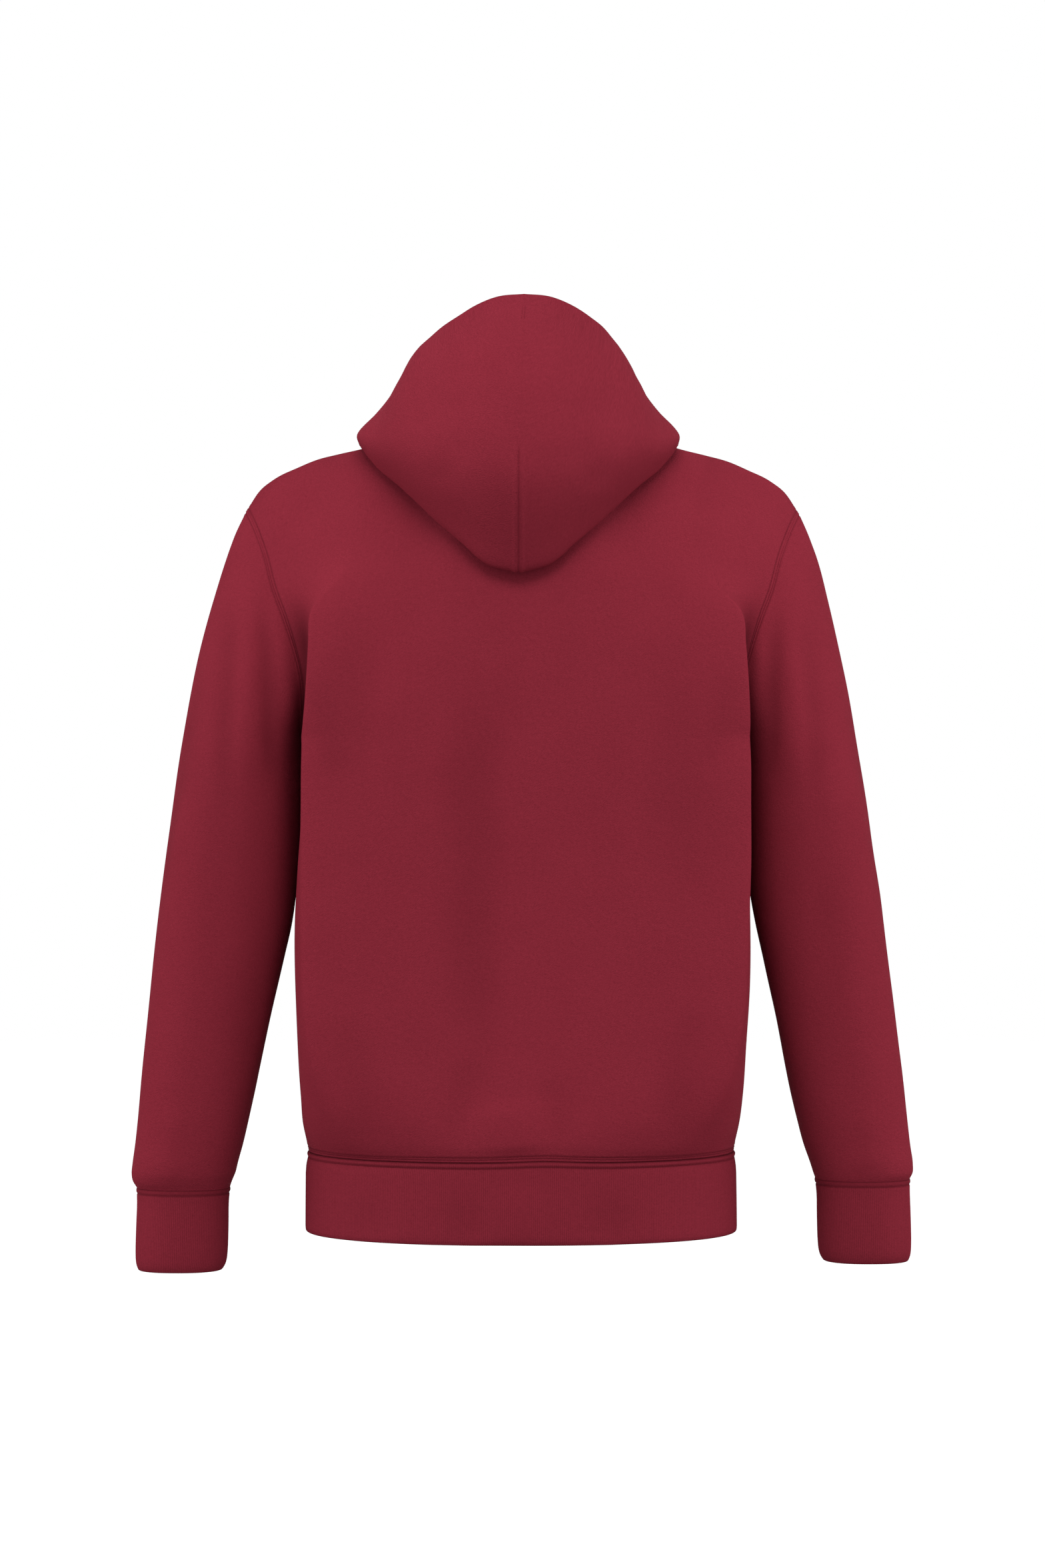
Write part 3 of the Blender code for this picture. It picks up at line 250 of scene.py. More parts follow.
def graded(length, coarse, *dense):          # shares of a length, closer at each (place, reach, spacing)
    x = np.linspace(0, length, 4001)
    spacing = np.full_like(x, coarse)
    for at, reach, fine in dense:
        spacing = np.minimum(spacing, fine + (coarse - fine) * np.clip((abs(x - at) - reach) / 0.020, 0, 1))
    count = np.concatenate([[0], np.cumsum(np.diff(x) / spacing[1:])])
    return np.interp(np.linspace(0, count[-1], int(round(count[-1])) + 1), count, x) / length


def withMark(shares, mark):                  # moves the nearest share onto a mark
    shares = shares.copy()
    shares[np.argmin(abs(shares - mark))] = mark
    return shares


def gridNormals(grid, closed):
    if closed:
        across = np.roll(grid, -1, axis=1) - np.roll(grid, 1, axis=1)
    else:
        across = np.gradient(grid, axis=1)
    n = np.cross(across, np.gradient(grid, axis=0))
    return n / np.maximum(np.linalg.norm(n, axis=2, keepdims=True), 1e-12)


def fromEdges(grid):                         # distance of each point from the first and last row and column
    steps = [np.diff(grid, axis=axis, prepend=grid.take([0], axis)) for axis in (0, 1)]
    rows, cols = (np.cumsum(np.linalg.norm(step, axis=2), axis=axis) for axis, step in enumerate(steps))
    return {"low": rows, "high": rows[-1:] - rows, "first": cols, "last": cols[:, -1:] - cols}


# the body's panels
panelDetail = {
    "spacing": 0.0042,
    "seamSpacing": 0.0006,
    "seamReach": 0.0090,
    "quarterRound": 0.2620,      # from the middle to the side seam
    "armholeLength": 0.2400,
    "foldRounding": (0.016, 7),  # reach in places, and steps
    "neckRounding": (0.060, 40),
}


def sectionLine(place, centre, edge, shape):
    fold, bulge, square, crest, valley = shape
    foldPlace = cut["foldPlace"]
    corner = 0.5 ** (1 / square)
    share = np.clip((1 - place) / (1 - foldPlace), 0, 1)
    inner = place <= foldPlace
    run = np.minimum(place / foldPlace, 1)
    width = np.where(inner, corner * run, (1 - (corner * share) ** square) ** (1 / square))
    depth = np.where(inner, (1 - (corner * run) ** square) ** (1 / square), corner * share)
    flat = centre[0] + (fold - centre[0]) * run * (corner + (1 - corner) * crest)
    turned = (1 - crest) * (centre[0] + (fold - centre[0]) * width) + crest * fold + bulge * 4 * share * (1 - share)
    lean = (1 - crest) * (edge[0] - fold) * (1 - depth) ** 1.5
    sunk = (1 - valley) * (1 - share ** 2) + valley * (1 - share) ** 2.4
    lean = lean + np.where(inner, 0, crest * (edge[0] - fold) * sunk)
    x = np.where(inner, flat, turned) + lean
    y = edge[1] + (centre[1] - edge[1]) * depth
    z = centre[2] + (edge[2] - centre[2]) * width ** 2
    return np.stack([x, y, z], axis=-1)


def softened(face, bulge, square, crest, valley=0.0):    # the fronts are rounder than the back
    if face == "back":
        return bulge, square, crest, valley
    return 0.3 * bulge, 2.3 + 0.35 * (square - 2.3), 0.0, 0.0


def readShape(table, side, at):              # the shared columns, and those of one side without its name
    other = {"Left": "Right", "Right": "Left"}[side]
    return {name.replace(side, ""): float(readAt(table, name, at)) for name in table if not name.endswith(other)}


def bodyRow(face, side, z, places):
    value = readShape(bodyTable, side, z)
    shape = (value["fold"], *softened(face, value["bulge"], value["square"], value["crest"]))
    return sectionLine(places, (startOf[face], value[face], z), (value["seam"], cut["sideSeamDepth"], z), shape)


def neckAndShoulder(face, places):
    start = startOf[face]
    y, z, fall = neckLow[face]
    neckPlace, halfWidth, high = cut["neckPlace"], cut["neckHalfWidth"], cut["neckHigh"]
    turn = pi / 2 * np.minimum(places / neckPlace, 1)
    neck = np.stack([start + (halfWidth - start) * np.sin(turn), y * np.cos(turn),
                     z + (high - z) * (1 - np.clip(np.cos(turn), 0, 1) ** fall)], axis=-1)
    share = np.maximum(places - neckPlace, 0) / (1 - neckPlace)
    x = halfWidth + (shoulderPoint[0] - halfWidth) * share
    shoulder = np.stack([x, shoulderPoint[1] * share, readAt(shoulderTable, "z", x)], axis=-1)
    return np.where((places <= neckPlace)[:, None], neck, shoulder)


def armholeShares(steps):
    return 0.45 * steps + 0.55 * np.sin(pi / 2 * steps)


def yokeSection(face, side, share, edge, places):
    value = readShape(yokeTable, side, share)
    z = value[face + "Z"]
    shape = (value["fold"], *softened(face, value["bulge"], value["square"], value["crest"], value["valley"]))
    return sectionLine(places, (startOf[face], float(readAt(centreTable[face], "y", z)), z), edge, shape)


def yokeRow(face, side, share, edge, places):
    towards = np.array([share ** 2, 1 - (1 - share ** 2) ** 0.5, share ** 3])
    top = yokeSection(face, side, 1.0, shoulderPoint, places)
    return yokeSection(face, side, share, edge, places) + (neckAndShoulder(face, places) - top) * towards


spacing, fine, reach = panelDetail["spacing"], panelDetail["seamSpacing"], panelDetail["seamReach"]
quarter = panelDetail["quarterRound"]
atSide = (quarter, reach * 0.7, fine)
halfPlaces = {
    "back": graded(quarter, spacing, (0, 0.001, 0.003), (cut["foldPlace"] * quarter, 0.004, 0.0012), atSide),
    "front": graded(quarter, spacing, (0, 0.006, 0.0008), atSide),
}
for face in halfPlaces:
    halfPlaces[face] = withMark(withMark(halfPlaces[face], cut["neckPlace"]), cut["foldPlace"])
bodyHeight = cut["armpit"] - cut["hemSeam"]
bodyHeights = cut["hemSeam"] + bodyHeight * graded(bodyHeight, spacing, (0, reach + 0.004, 0.0007))
armhole = panelDetail["armholeLength"]
armholeSteps = graded(armhole, 0.0046, (armhole, reach, fine))


def rounded(grid, places, at, rounding, strength):    # evens the rows out near one place
    width, steps = rounding
    near = bell(places, at, width)[None, 1:-1, None] * strength
    for _ in range(steps):
        grid[:, 1:-1] += 0.5 * near * ((grid[:, 2:] + grid[:, :-2]) / 2 - grid[:, 1:-1])


def halfPanel(face, side):
    places = halfPlaces[face]
    rows = [bodyRow(face, side, z, places) for z in bodyHeights]
    shares = armholeShares(armholeSteps)
    edges = along(curveThrough(armholeLine[face]), shares)
    rows += [yokeRow(face, side, min(share, 1.0), edge, places) for share, edge in list(zip(shares, edges))[1:]]
    grid = np.array(rows)
    if face == "back":                       # rounds the side fold over a few millimetres
        rounded(grid, places, cut["foldPlace"], panelDetail["foldRounding"], 1.0)
    high = np.concatenate([np.zeros(len(bodyHeights)), shares[1:]])
    strength = ease(high / 0.3) * ease((1 - high) / 0.10)
    rounded(grid, places, cut["neckPlace"], panelDetail["neckRounding"], strength[:, None, None])
    return grid


def mirrored(points):                        # over to the right side, where the shoulder is slightly lower
    outward = reached(points[..., 0], cut["dropOut"])
    upward = reached(points[..., 2], cut["dropUp"])
    taken = points * np.array([-1.0, 1.0, 1.0])
    taken[..., 2] -= cut["rightShoulderDrop"] * outward * upward
    return taken


def hemRise(grid):                           # the seam of the rib band is a little higher at the back
    return cut["hemRise"] * bell(grid[..., 0], cut["hemRiseAt"], cut["hemRiseWidth"]) * (grid[..., 1] > 0)


half = {(face, side): halfPanel(face, side) for face in ("back", "front") for side in ("Left", "Right")}
backGrid = np.concatenate([half["back", "Left"][:, ::-1], mirrored(half["back", "Right"][:, 1:])], axis=1)
backGrid[..., 2] += hemRise(backGrid) * np.exp((cut["hemSeam"] - backGrid[..., 2]) / cut["hemRiseReach"])
frontLeftGrid = half["front", "Left"]
frontRightGrid = mirrored(half["front", "Right"])[:, ::-1]


# waistband, sleeves and cuffs
def bandRow(z, count):                       # once round, from front edge to front edge
    places = np.linspace(0, 1, 220)
    part = {(face, side): bodyRow(face, side, z, places) for face in ("back", "front") for side in ("Left", "Right")}
    left = np.vstack([part["front", "Left"], part["back", "Left"][-2::-1]])
    right = mirrored(np.vstack([part["front", "Right"], part["back", "Right"][-2::-1]]))
    return along(np.vstack([left, right[-2::-1]]), np.linspace(0, 1, count))


ribDetail = {
    "columnsPerRib": 3,
    "depth": 0.00036,
    "ledge": 0.0046,             # width of the sewn ledge below the seam
    "bandLedge": 0.0012,         # and its height, on the band and on the cuffs
    "cuffLedge": 0.0006,
    "groove": 0.0005,            # depth of the groove below the ledge, its place and its width
    "grooveAt": 0.0004,
    "grooveWidth": 0.0006,
    "seamFade": 0.0016,          # the ribs rise over these lengths from the seam, the ledge and the folded edge
    "ledgeFade": 0.0012,
    "foldFade": 0.003,
    "foldShare": 0.35,           # of the ribs at the folded edge
    "wave": 0.0008,              # height and size of the broad waves, and where they start
    "waveSize": 0.090,
    "waveFade": 0.020,
    "rowSpacing": 0.012,         # of the band, closer at the seam and the folded edge: reach and spacing
    "rowsAtSeam": (0.0070, 0.0010),
    "rowsAtFold": (0.001, 0.003),
    "foldDepth": 0.992,          # the folded edge is drawn in a little from front to back
    "riseReach": 0.03,
    "grooveShade": (0.25, 0.0006, 0.0009),    # painted shade: its strength, place and width, below the ledge and along the seam
    "seamShade": (0.5, 0, 0.0007),
}
bandLength = lengthsAlong(bandRow(-0.640, 800))[-1]
bandRibs = int(bandLength / cut["ribPitch"])
bandHeight = cut["hemSeam"] - cut["hemBottom"]
bandHeights = cut["hemBottom"] + bandHeight * graded(
    bandHeight, ribDetail["rowSpacing"], (bandHeight, *ribDetail["rowsAtSeam"]), (0, *ribDetail["rowsAtFold"]))
waistbandGrid = np.array([bandRow(z, bandRibs * ribDetail["columnsPerRib"] + 1) for z in bandHeights])
waistbandGrid[0] *= np.array([1.0, ribDetail["foldDepth"], 1.0])
riseShare = ease((waistbandGrid[..., 2] - cut["hemSeam"] + ribDetail["riseReach"]) / ribDetail["riseReach"])
waistbandGrid[..., 2] += hemRise(waistbandGrid) * riseShare


sleeveDetail = {
    "armholeSpacing": 0.0042,
    "length": 0.500,             # that the rows are spaced over, closer at both seams: reach and spacing
    "spacing": 0.0045,
    "rowsAtArmhole": (0.008, 0.0008),
    "rowsAtCuff": (0.006, 0.0008),
    "square": 0.86,              # below 1 fills the round section out towards its corners
    "hang": (0.09, 0.41),        # how far down the armhole's line shapes the sleeve: under the arm, and more on top
    "crownSteps": 60,            # evening out below the corner at the shoulder point
    "crownReach": 1.3,
    "crownFade": 0.07,
}


def squared(x):
    return np.sign(x) * abs(x) ** sleeveDetail["square"]


def sleeveGrid(side):
    shares = armholeShares(graded(armhole, sleeveDetail["armholeSpacing"]))
    back = along(curveThrough(armholeLine["back"]), shares)
    front = along(curveThrough(armholeLine["front"]), shares)
    start = np.vstack([back, front[-2:0:-1]])
    angles = np.concatenate([pi * (1 - shares), -pi * (1 - shares[-2:0:-1])])
    seam = cuffSeam[side]
    across, deep = squared(np.cos(angles)), squared(np.sin(angles))

    def ring(z):
        outer, inner = readAt(sleeveTable, "outer" + side, z), readAt(sleeveTable, "inner" + side, z)
        x = (outer + inner) / 2 + (outer - inner) / 2 * across
        y = readAt(sleeveTable, "middle", z) + readAt(sleeveTable, "halfDepth", z) * deep
        return np.stack([x, y, z], axis=-1)

    held = start - ring(start[:, 2])
    under, top = sleeveDetail["hang"]
    hang = under + top * (1 + np.cos(angles)) / 2
    even = held.copy()
    for _ in range(sleeveDetail["crownSteps"]):
        even = (np.roll(even, 1, axis=0) + np.roll(even, -1, axis=0) + 2 * even) / 4
    even -= held
    even = (even - even[np.argmin(abs(angles))]) * (1 - ease(abs(angles) / sleeveDetail["crownReach"]))[:, None]
    rings = []
    length, atArmhole, atCuff = sleeveDetail["length"], sleeveDetail["rowsAtArmhole"], sleeveDetail["rowsAtCuff"]
    for share in graded(length, sleeveDetail["spacing"], (0, *atArmhole), (length, *atCuff)):
        z = start[:, 2] + (seam - start[:, 2]) * share
        left = (np.maximum(0.0, 1 - share / hang) ** 1.5)[:, None]
        rings.append(ring(z) + (held + even * ease(share / sleeveDetail["crownFade"])) * left)
    return np.array(rings)


cuffDetail = {
    "taken": 0.975,              # the cuff's round, as a share of the sleeve's
    "level": 0.65,               # how far the seam's slope evens out, and by which share of the cuff
    "levelBy": 0.10,
    "rowSpacing": 0.009,
    "rowsAtSeam": (0.0075, 0.0009),
    "rowsAtFold": (0.010, 0.0020),
    "sizes": columnsOf("drop size", [
        (0.0, 1.0), (0.10, 0.985), (0.5, 0.985), (0.80, 0.980), (0.88, 0.970), (0.94, 0.948), (1.0, 0.905),
    ]),
}


def cuffGrid(lastRing):
    ring = np.vstack([lastRing, lastRing[:1]])
    ribs = int(lengthsAlong(ring)[-1] * cuffDetail["taken"] / cut["ribPitch"])
    ring = along(ring, np.linspace(0, 1, ribs * ribDetail["columnsPerRib"], endpoint=False))
    middle = lastRing.mean(axis=0)
    length, atSeam, atFold = cut["cuffLength"], cuffDetail["rowsAtSeam"], cuffDetail["rowsAtFold"]
    drops = graded(length, cuffDetail["rowSpacing"], (0, *atSeam), (length, *atFold))
    rings = []
    for drop in drops:
        size = float(readAt(cuffDetail["sizes"], "size", drop))
        level = 1 - cuffDetail["level"] * ease(drop / cuffDetail["levelBy"])
        rings.append(middle + (ring - middle) * np.array([size, size, level])
                     + np.array([cut["cuffLean"], 0.0, -length]) * drop)
    return np.array(rings)


sleeves, cuffs = {}, {}
for side in ("Left", "Right"):
    sleeve = sleeveGrid(side)
    cuff = cuffGrid(sleeve[-1])
    sleeve, cuff = (mirrored(grid) if side == "Right" else grid[:, ::-1] for grid in (sleeve, cuff))
    sleeves[side], cuffs[side] = sleeve[::-1], cuff[::-1]    # rows run from the hand up
print("panels laid out")


# hood
hoodDetail = {
    "rowSpacing": 0.0042,
    "rowsAtNeck": (0.006, 0.0012),    # reach and spacing
    "rowsAtRim": (0.030, 0.0022),
    "columns": 170,
    "columnsAtSeam": ((0.0030, 0.00035), (0.010, 0.0016)),
    "columnsAtEdge": (0.004, 0.0012),
    "neckRound": 0.620,          # lengths that the spacing is shared out over
    "height": 0.460,
    "shift": 0.0034,             # the hood lies a little to the wearer's left, but not its top
    "topShift": -0.0012,
    "topFrom": (0.055, 0.050),   # height where the top starts, and how much higher it is reached
    "shiftFrom": (0.065, 0.28),  # the same for the shift, in shares of the way up from the neck
    "outlineSides": (0.45, 0.4), # and for the outline's corrections, out from the middle and up
    "outlineRows": (0.45, 0.1),
    "aboveBody": 0.0016,         # clear of the body it lies on, from this share of the height up
    "aboveFrom": 0.030,
    "casing": 0.0270,            # depth of the casing that is turned in at the rim
    "rimRoll": 0.0019,
    "lowAt": 0.24,               # share of the way from the fold up to the belly, where the roll ends
    "lowPush": (0.10, 0.20),     # how far the cloth stands out there, at the back and at the sides
}
hoodOutline = columnsOf("z left right", [      # small outward corrections of the outline, in millimetres
    (-0.010, 0.0, 0.0), (0.000, -0.3, -1.2), (0.0125, -0.6, -2.8), (0.022, -0.2, -2.0), (0.034, 0.8, -0.6),
    (0.046, 0.6, 0.0), (0.055, 0.4, 0.0), (0.0635, 2.0, 0.6), (0.072, 3.4, 0.6), (0.0805, 2.9, -0.6),
    (0.089, -0.5, -2.8), (0.0975, -1.6, -2.8), (0.106, 0.6, -0.8), (0.120, 0.0, 0.0),
])


def bodySurface(grids):
    points, faces = [], []
    for grid in grids:
        base, (rows, cols) = len(points), grid.shape[:2]
        points += [Vector(p) for p in grid.reshape(-1, 3)]
        for r in range(rows - 1):
            for c in range(cols - 1):
                a = base + r * cols + c
                faces.append((a, a + 1, a + cols + 1, a + cols))
    return BVHTree.FromPolygons(points, faces)


def seated(point, surface, clear):           # keeps a point of the hood clear of the body it lies on
    place, normal, _, distance = surface.find_nearest(Vector(point), 0.08)
    if place is None:
        return point
    away = Vector(point) - place
    height = away.dot(normal)
    if height >= clear or (away - normal * height).length > 0.5 * distance:
        return point
    return point + np.array(normal * (clear - height))


def hoodProfile(angle, neck):
    value = {name: float(readAt(hoodTable, name, angle)) for name in hoodTable if name != "angle"}
    neckR, neckZ = float(np.hypot(neck[0], neck[1])), float(neck[2])
    points = [(neckR, neckZ), (neckR + 0.2 * (value["rollR"] - neckR), 0.5 * (neckZ + value["rollZ"]))]
    names = ("roll", "under", "fold", "belly", "dome", "rim")
    place = {name: np.array([value[name + "R"], value[name + "Z"]]) for name in names}
    low = place["fold"] + (place["belly"] - place["fold"]) * hoodDetail["lowAt"]
    push = hoodDetail["lowPush"]
    low[0] += (place["belly"][0] - place["fold"][0]) * (push[0] + (push[1] - push[0]) * ease((angle - 8) / 34))
    points += [place["roll"], place["under"], place["fold"], low, place["belly"], place["dome"], place["rim"]]
    return curveThrough(points, 20)


def hoodGrid(neckline, surface):
    columns = []
    height, atNeck, atRim = hoodDetail["height"], hoodDetail["rowsAtNeck"], hoodDetail["rowsAtRim"]
    shares = graded(height, hoodDetail["rowSpacing"], (0, *atNeck), (height, *atRim))
    sides, rows = hoodDetail["outlineSides"], hoodDetail["outlineRows"]
    for neck in neckline:
        angle = degrees(atan2(abs(neck[0]), neck[1]))
        direction = np.array([neck[0], neck[1]]) / np.hypot(neck[0], neck[1])
        profile = along(hoodProfile(angle, neck), shares)
        column = []
        for share, (radius, z) in zip(shares, profile):
            top = reached(z, hoodDetail["topFrom"])
            shift = hoodDetail["shift"] + (hoodDetail["topShift"] - hoodDetail["shift"]) * top
            shift *= reached(share, hoodDetail["shiftFrom"]) * (1 - (angle / 180) ** 2)
            point = np.array([direction[0] * radius + shift, direction[1] * radius, z])
            outline = readAt(hoodOutline, "left" if point[0] > 0 else "right", z) / 1000
            outward = ease(reached(abs(point[0]) / radius, sides)) * ease(reached(share, rows))
            point[0] += np.sign(point[0]) * outline * outward
            clear = hoodDetail["aboveBody"] * ease(share / hoodDetail["aboveFrom"])
            column.append(seated(point, surface, clear) if share > 0 else neck)
        columns.append(column)
    return np.array(columns).transpose(1, 0, 2)


neckEnd = cut["neckPlace"] + 1e-6
backPlaces = abs(np.concatenate([halfPlaces["back"][::-1], -halfPlaces["back"][1:]]))    # right across the back
neckLine = np.vstack([
    frontLeftGrid[-1][halfPlaces["front"] <= neckEnd][:-1],
    backGrid[-1][backPlaces <= neckEnd],
    frontRightGrid[-1][halfPlaces["front"][::-1] <= neckEnd][1:],
])
neckRound = hoodDetail["neckRound"]
middle = neckRound / 2
atSeam, atEdge = hoodDetail["columnsAtSeam"], hoodDetail["columnsAtEdge"]
neckLine = along(neckLine, graded(neckRound, neckRound / hoodDetail["columns"], (middle, *atSeam[0]),
                                  (middle, *atSeam[1]), (0, *atEdge), (neckRound, *atEdge)))
centreColumn = int(np.argmin(abs(neckLine[:, 0]) + (neckLine[:, 1] < 0)))
neckLine[centreColumn, 0] = 0.0
hoodSurface = hoodGrid(neckLine, bodySurface([backGrid, frontLeftGrid, frontRightGrid]))
print("hood laid out")


# creases and seams in the cloth
# Soft troughs (depth below 0) and ridges, in millimetres: the face they lie on, both ends, width, depth and bow.
# Faces back and front are measured in x and z, side in y and z.
creases = {
    "back": [
        ("back", 38, -175, 36, -585, 26, -2.6, 3),
        ("back", -6, -230, -12, -520, 26, 1.2, -3),
        ("back", 104, -150, 98, -520, 28, 1.4, 5),
        ("back", -58, -200, -62, -540, 24, 1.3, -4),
        ("back", -118, -130, -128, -400, 30, -1.6, -6),
        ("back", 128, -110, 140, -330, 26, -1.5, 6),
        ("back", 38, -512, 58, -594, 14, -1.5, 3),
        ("back", -16, -530, -38, -590, 15, -0.9, -2),
        ("back", 14, -548, 6, -606, 24, 2.3, 0),
        ("back", 150, -480, 128, -598, 16, -1.2, -4),
        ("back", -148, -470, -120, -598, 17, -1.3, 4),
        ("back", 168, -200, 150, -300, 12, -1.4, 3),
        ("back", -172, -190, -152, -290, 12, -1.3, -3),
    ],
    "frontLeft": [
        ("front", 60, -240, 42, -500, 24, -2.0, 5),
        ("front", 118, -160, 96, -360, 22, -1.8, -6),
        ("front", 150, -200, 120, -560, 26, 1.6, 4),
        ("front", 34, -500, 46, -596, 12, -2.0, 2),
        ("front", 104, -520, 90, -598, 12, -1.6, -3),
        ("front", 168, -205, 140, -290, 12, -2.0, 3),
        ("front", 90, -90, 110, -190, 18, 1.4, 3),
    ],
    "frontRight": [
        ("front", -54, -260, -46, -520, 22, -1.9, -5),
        ("front", -122, -170, -104, -390, 24, -1.7, 6),
        ("front", -84, -220, -78, -540, 28, 1.4, 4),
        ("front", -40, -510, -30, -596, 12, -1.9, 2),
        ("front", -128, -500, -112, -598, 13, -1.7, 3),
        ("front", -166, -210, -142, -300, 12, -1.9, -3),
        ("front", -92, -95, -118, -200, 18, 1.3, -3),
    ],
    "sleeveLeft": [
        ("back", 250, -118, 252, -330, 11, -2.6, 2),
        ("back", 232, -150, 238, -300, 10, 1.2, -2),
        ("back", 223, -118, 211, -300, 8, -2.8, -2),
        ("back", 203, -150, 195, -250, 6, 1.6, 0),
        ("back", 286, -260, 292, -480, 16, 1.2, 3),
        ("back", 218, -400, 240, -560, 12, -0.6, 3),
        ("back", 300, -560, 296, -636, 12, 1.6, 0),
        ("front", 226, -170, 236, -300, 12, -2.4, 5),
        ("front", 258, -140, 268, -330, 12, -1.8, -4),
        ("front", 230, -330, 262, -470, 16, -1.8, 5),
        ("front", 290, -430, 284, -610, 16, 1.4, -4),
        ("side", 30, -180, 12, -420, 18, -1.2, 5),
        ("side", -32, -300, -24, -560, 16, -1.4, -5),
    ],
    "sleeveRight": [
        ("back", -244, -125, -247, -320, 12, -2.2, -2),
        ("back", -228, -160, -233, -300, 10, 1.0, 2),
        ("back", -217, -125, -210, -300, 8, -2.6, 2),
        ("back", -200, -150, -196, -250, 6, 1.5, 0),
        ("back", -282, -270, -290, -470, 16, 1.1, -3),
        ("back", -246, -340, -262, -540, 14, -0.7, -5),
        ("back", -298, -560, -294, -628, 12, 1.5, 0),
        ("front", -222, -180, -234, -310, 12, -2.2, -5),
        ("front", -254, -150, -266, -340, 12, -1.7, 4),
        ("front", -226, -340, -258, -480, 16, -1.7, -5),
        ("front", -286, -430, -282, -600, 16, 1.3, 4),
        ("side", 28, -190, 14, -400, 18, -1.2, -5),
        ("side", -30, -310, -22, -560, 16, -1.3, 5),
    ],
    "hood": [
        ("back", 74, -46, 48, -2, 13, -1.5, 3),
        ("back", -70, -48, -46, -4, 13, -1.5, -3),
        ("back", 40, 20, 46, 78, 22, 1.2, 4),
        ("back", -44, 18, -48, 76, 22, 1.2, -4),
        ("back", 88, 0, 70, 40, 14, -1.2, 4),
        ("back", -86, 2, -68, 42, 14, -1.2, -4),
        ("side", 60, 18, 20, 30, 12, -1.4, 3),
        ("side", 20, 36, -20, 20, 12, -1.2, 2),
    ],
    "waistband": [
        ("back", 46, -676, 54, -628, 18, -1.3, 2),
        ("back", 4, -678, 2, -622, 22, 1.5, 0),
        ("back", -72, -676, -78, -630, 20, -1.3, -2),
        ("back", 128, -676, 134, -632, 18, -0.9, 2),
        ("front", 70, -676, 62, -630, 18, -1.2, 2),
        ("front", -84, -676, -76, -630, 18, -1.2, -2),
    ],
}
creaseShape = {
    "ends": 0.3,                 # share of the length that each end fades over
    "facing": (0.15, 0.45),      # how far the cloth has to face us, and the way from there to full depth
}
faceViews = {"back": (0, 1, 1), "front": (0, 1, -1), "side": (1, 0, 0)}    # axis across, axis and sign that face us


def creaseLift(piece, grid, normals):
    lift = np.zeros(grid.shape[:2])
    for face, x0, z0, x1, z1, width, depth, bow in creases.get(piece, ()):
        across, facing, sign = faceViews[face]
        start, run = np.array([x0, z0]) / 1000, np.array([x1 - x0, z1 - z0]) / 1000
        length = np.hypot(*run)
        offset = grid[..., [across, 2]] - start
        t = (offset @ run) / length ** 2
        side = (offset[..., 0] * run[1] - offset[..., 1] * run[0]) / length + bow / 1000 * 4 * t * (1 - t)
        turned = normals[..., facing] * sign if sign else abs(normals[..., facing])
        strength = ease(t / creaseShape["ends"]) * ease((1 - t) / creaseShape["ends"])
        strength = strength * ease(reached(turned, creaseShape["facing"]))
        lift += depth / 1000 * bell(side, 0, width / 1000) * strength
    return lift


clothWaves = {
    "long": 0.085,               # size of the broad waves, and of small ones that are this much flatter
    "short": 0.030,
    "shortShare": 0.3,
    "panels": 0.0010,            # height
    "sleeves": 0.0011,
    "panelFade": 0.016,          # waves and creases end this far from a seam
    "sleeveFade": 0.008,
}
stitchShape = {
    "width": 0.0006,             # of the groove along a row of stitches
    "dip": 0.00045,
    "puff": 0.0004,              # the cloth swells between the rows, over this share of the way
    "puffWidth": 0.36,
    "beyond": 0.0022,            # and half as much beyond the last row
    "beyondWidth": 0.0013,
    "sink": 0.00015,             # of the thread
    "skipped": 5,                # points left out where a row meets the shoulder point
}


def softWaves(grid, size, height, seed):     # broad unevenness of cloth that hangs free
    place = Vector((seed * 7.3, seed * 3.1, seed * 5.7))
    stretched = grid * np.array([1.0, 1.0, 0.45]) / size
    values = np.array([noise.noise(Vector(p) + place) for p in stretched.reshape(-1, 3)])
    return values.reshape(grid.shape[:2]) * height


def stitchedSeam(distance, lines):
    dip, puff = stitchShape["dip"], stitchShape["puff"]
    lift = np.zeros_like(distance)
    last = 0.0
    for line in lines:
        lift -= dip * bell(distance, line, stitchShape["width"])
        lift += puff * bell(distance, (line + last) / 2, (line - last) * stitchShape["puffWidth"])
        last = line
    return lift + 0.5 * puff * bell(distance, last + stitchShape["beyond"], stitchShape["beyondWidth"])


# shells
def placed(name, data):                      # puts an object in the scene
    thing = bpy.data.objects.new(name, data)
    bpy.context.scene.collection.objects.link(thing)
    return thing


def stored(mesh, name, outside, inside=0.0):    # keeps a value at each point, for a finish or for the ribs
    values = np.concatenate([outside.ravel(), np.broadcast_to(inside, outside.shape).ravel()])
    mesh.attributes.new(name, "FLOAT", "POINT").data.foreach_set("value", values.astype(np.float32))


def rolledSteps(radius, steps=3):            # out and down, round a quarter turn
    turns = [pi / 2 * (k + 1) / steps for k in range(steps)]
    return [(radius * sin(t), radius * (1 - cos(t))) for t in turns]


def extended(grid, normals, depth, axis, first, last):
    # adds rows (axis 0) or columns (axis 1) that roll the cloth's edge over
    g, n, d = (np.moveaxis(a, axis, 0) for a in (grid, normals, depth))
    for radius in (first, last):
        edge, inner, normal, deep = g[0], g[1], n[0], d[0]
        out = unit(edge - inner)
        steps = rolledSteps(radius)[::-1]
        g = np.concatenate([[edge + out * o for o, _ in steps], g])
        n = np.concatenate([[normal] * len(steps), n])
        d = np.concatenate([[np.maximum(deep, down) for _, down in steps], d])
        g, n, d = g[::-1], n[::-1], d[::-1]  # then the other end, and back again
    return tuple(np.moveaxis(a, 0, axis) for a in (g, n, d))


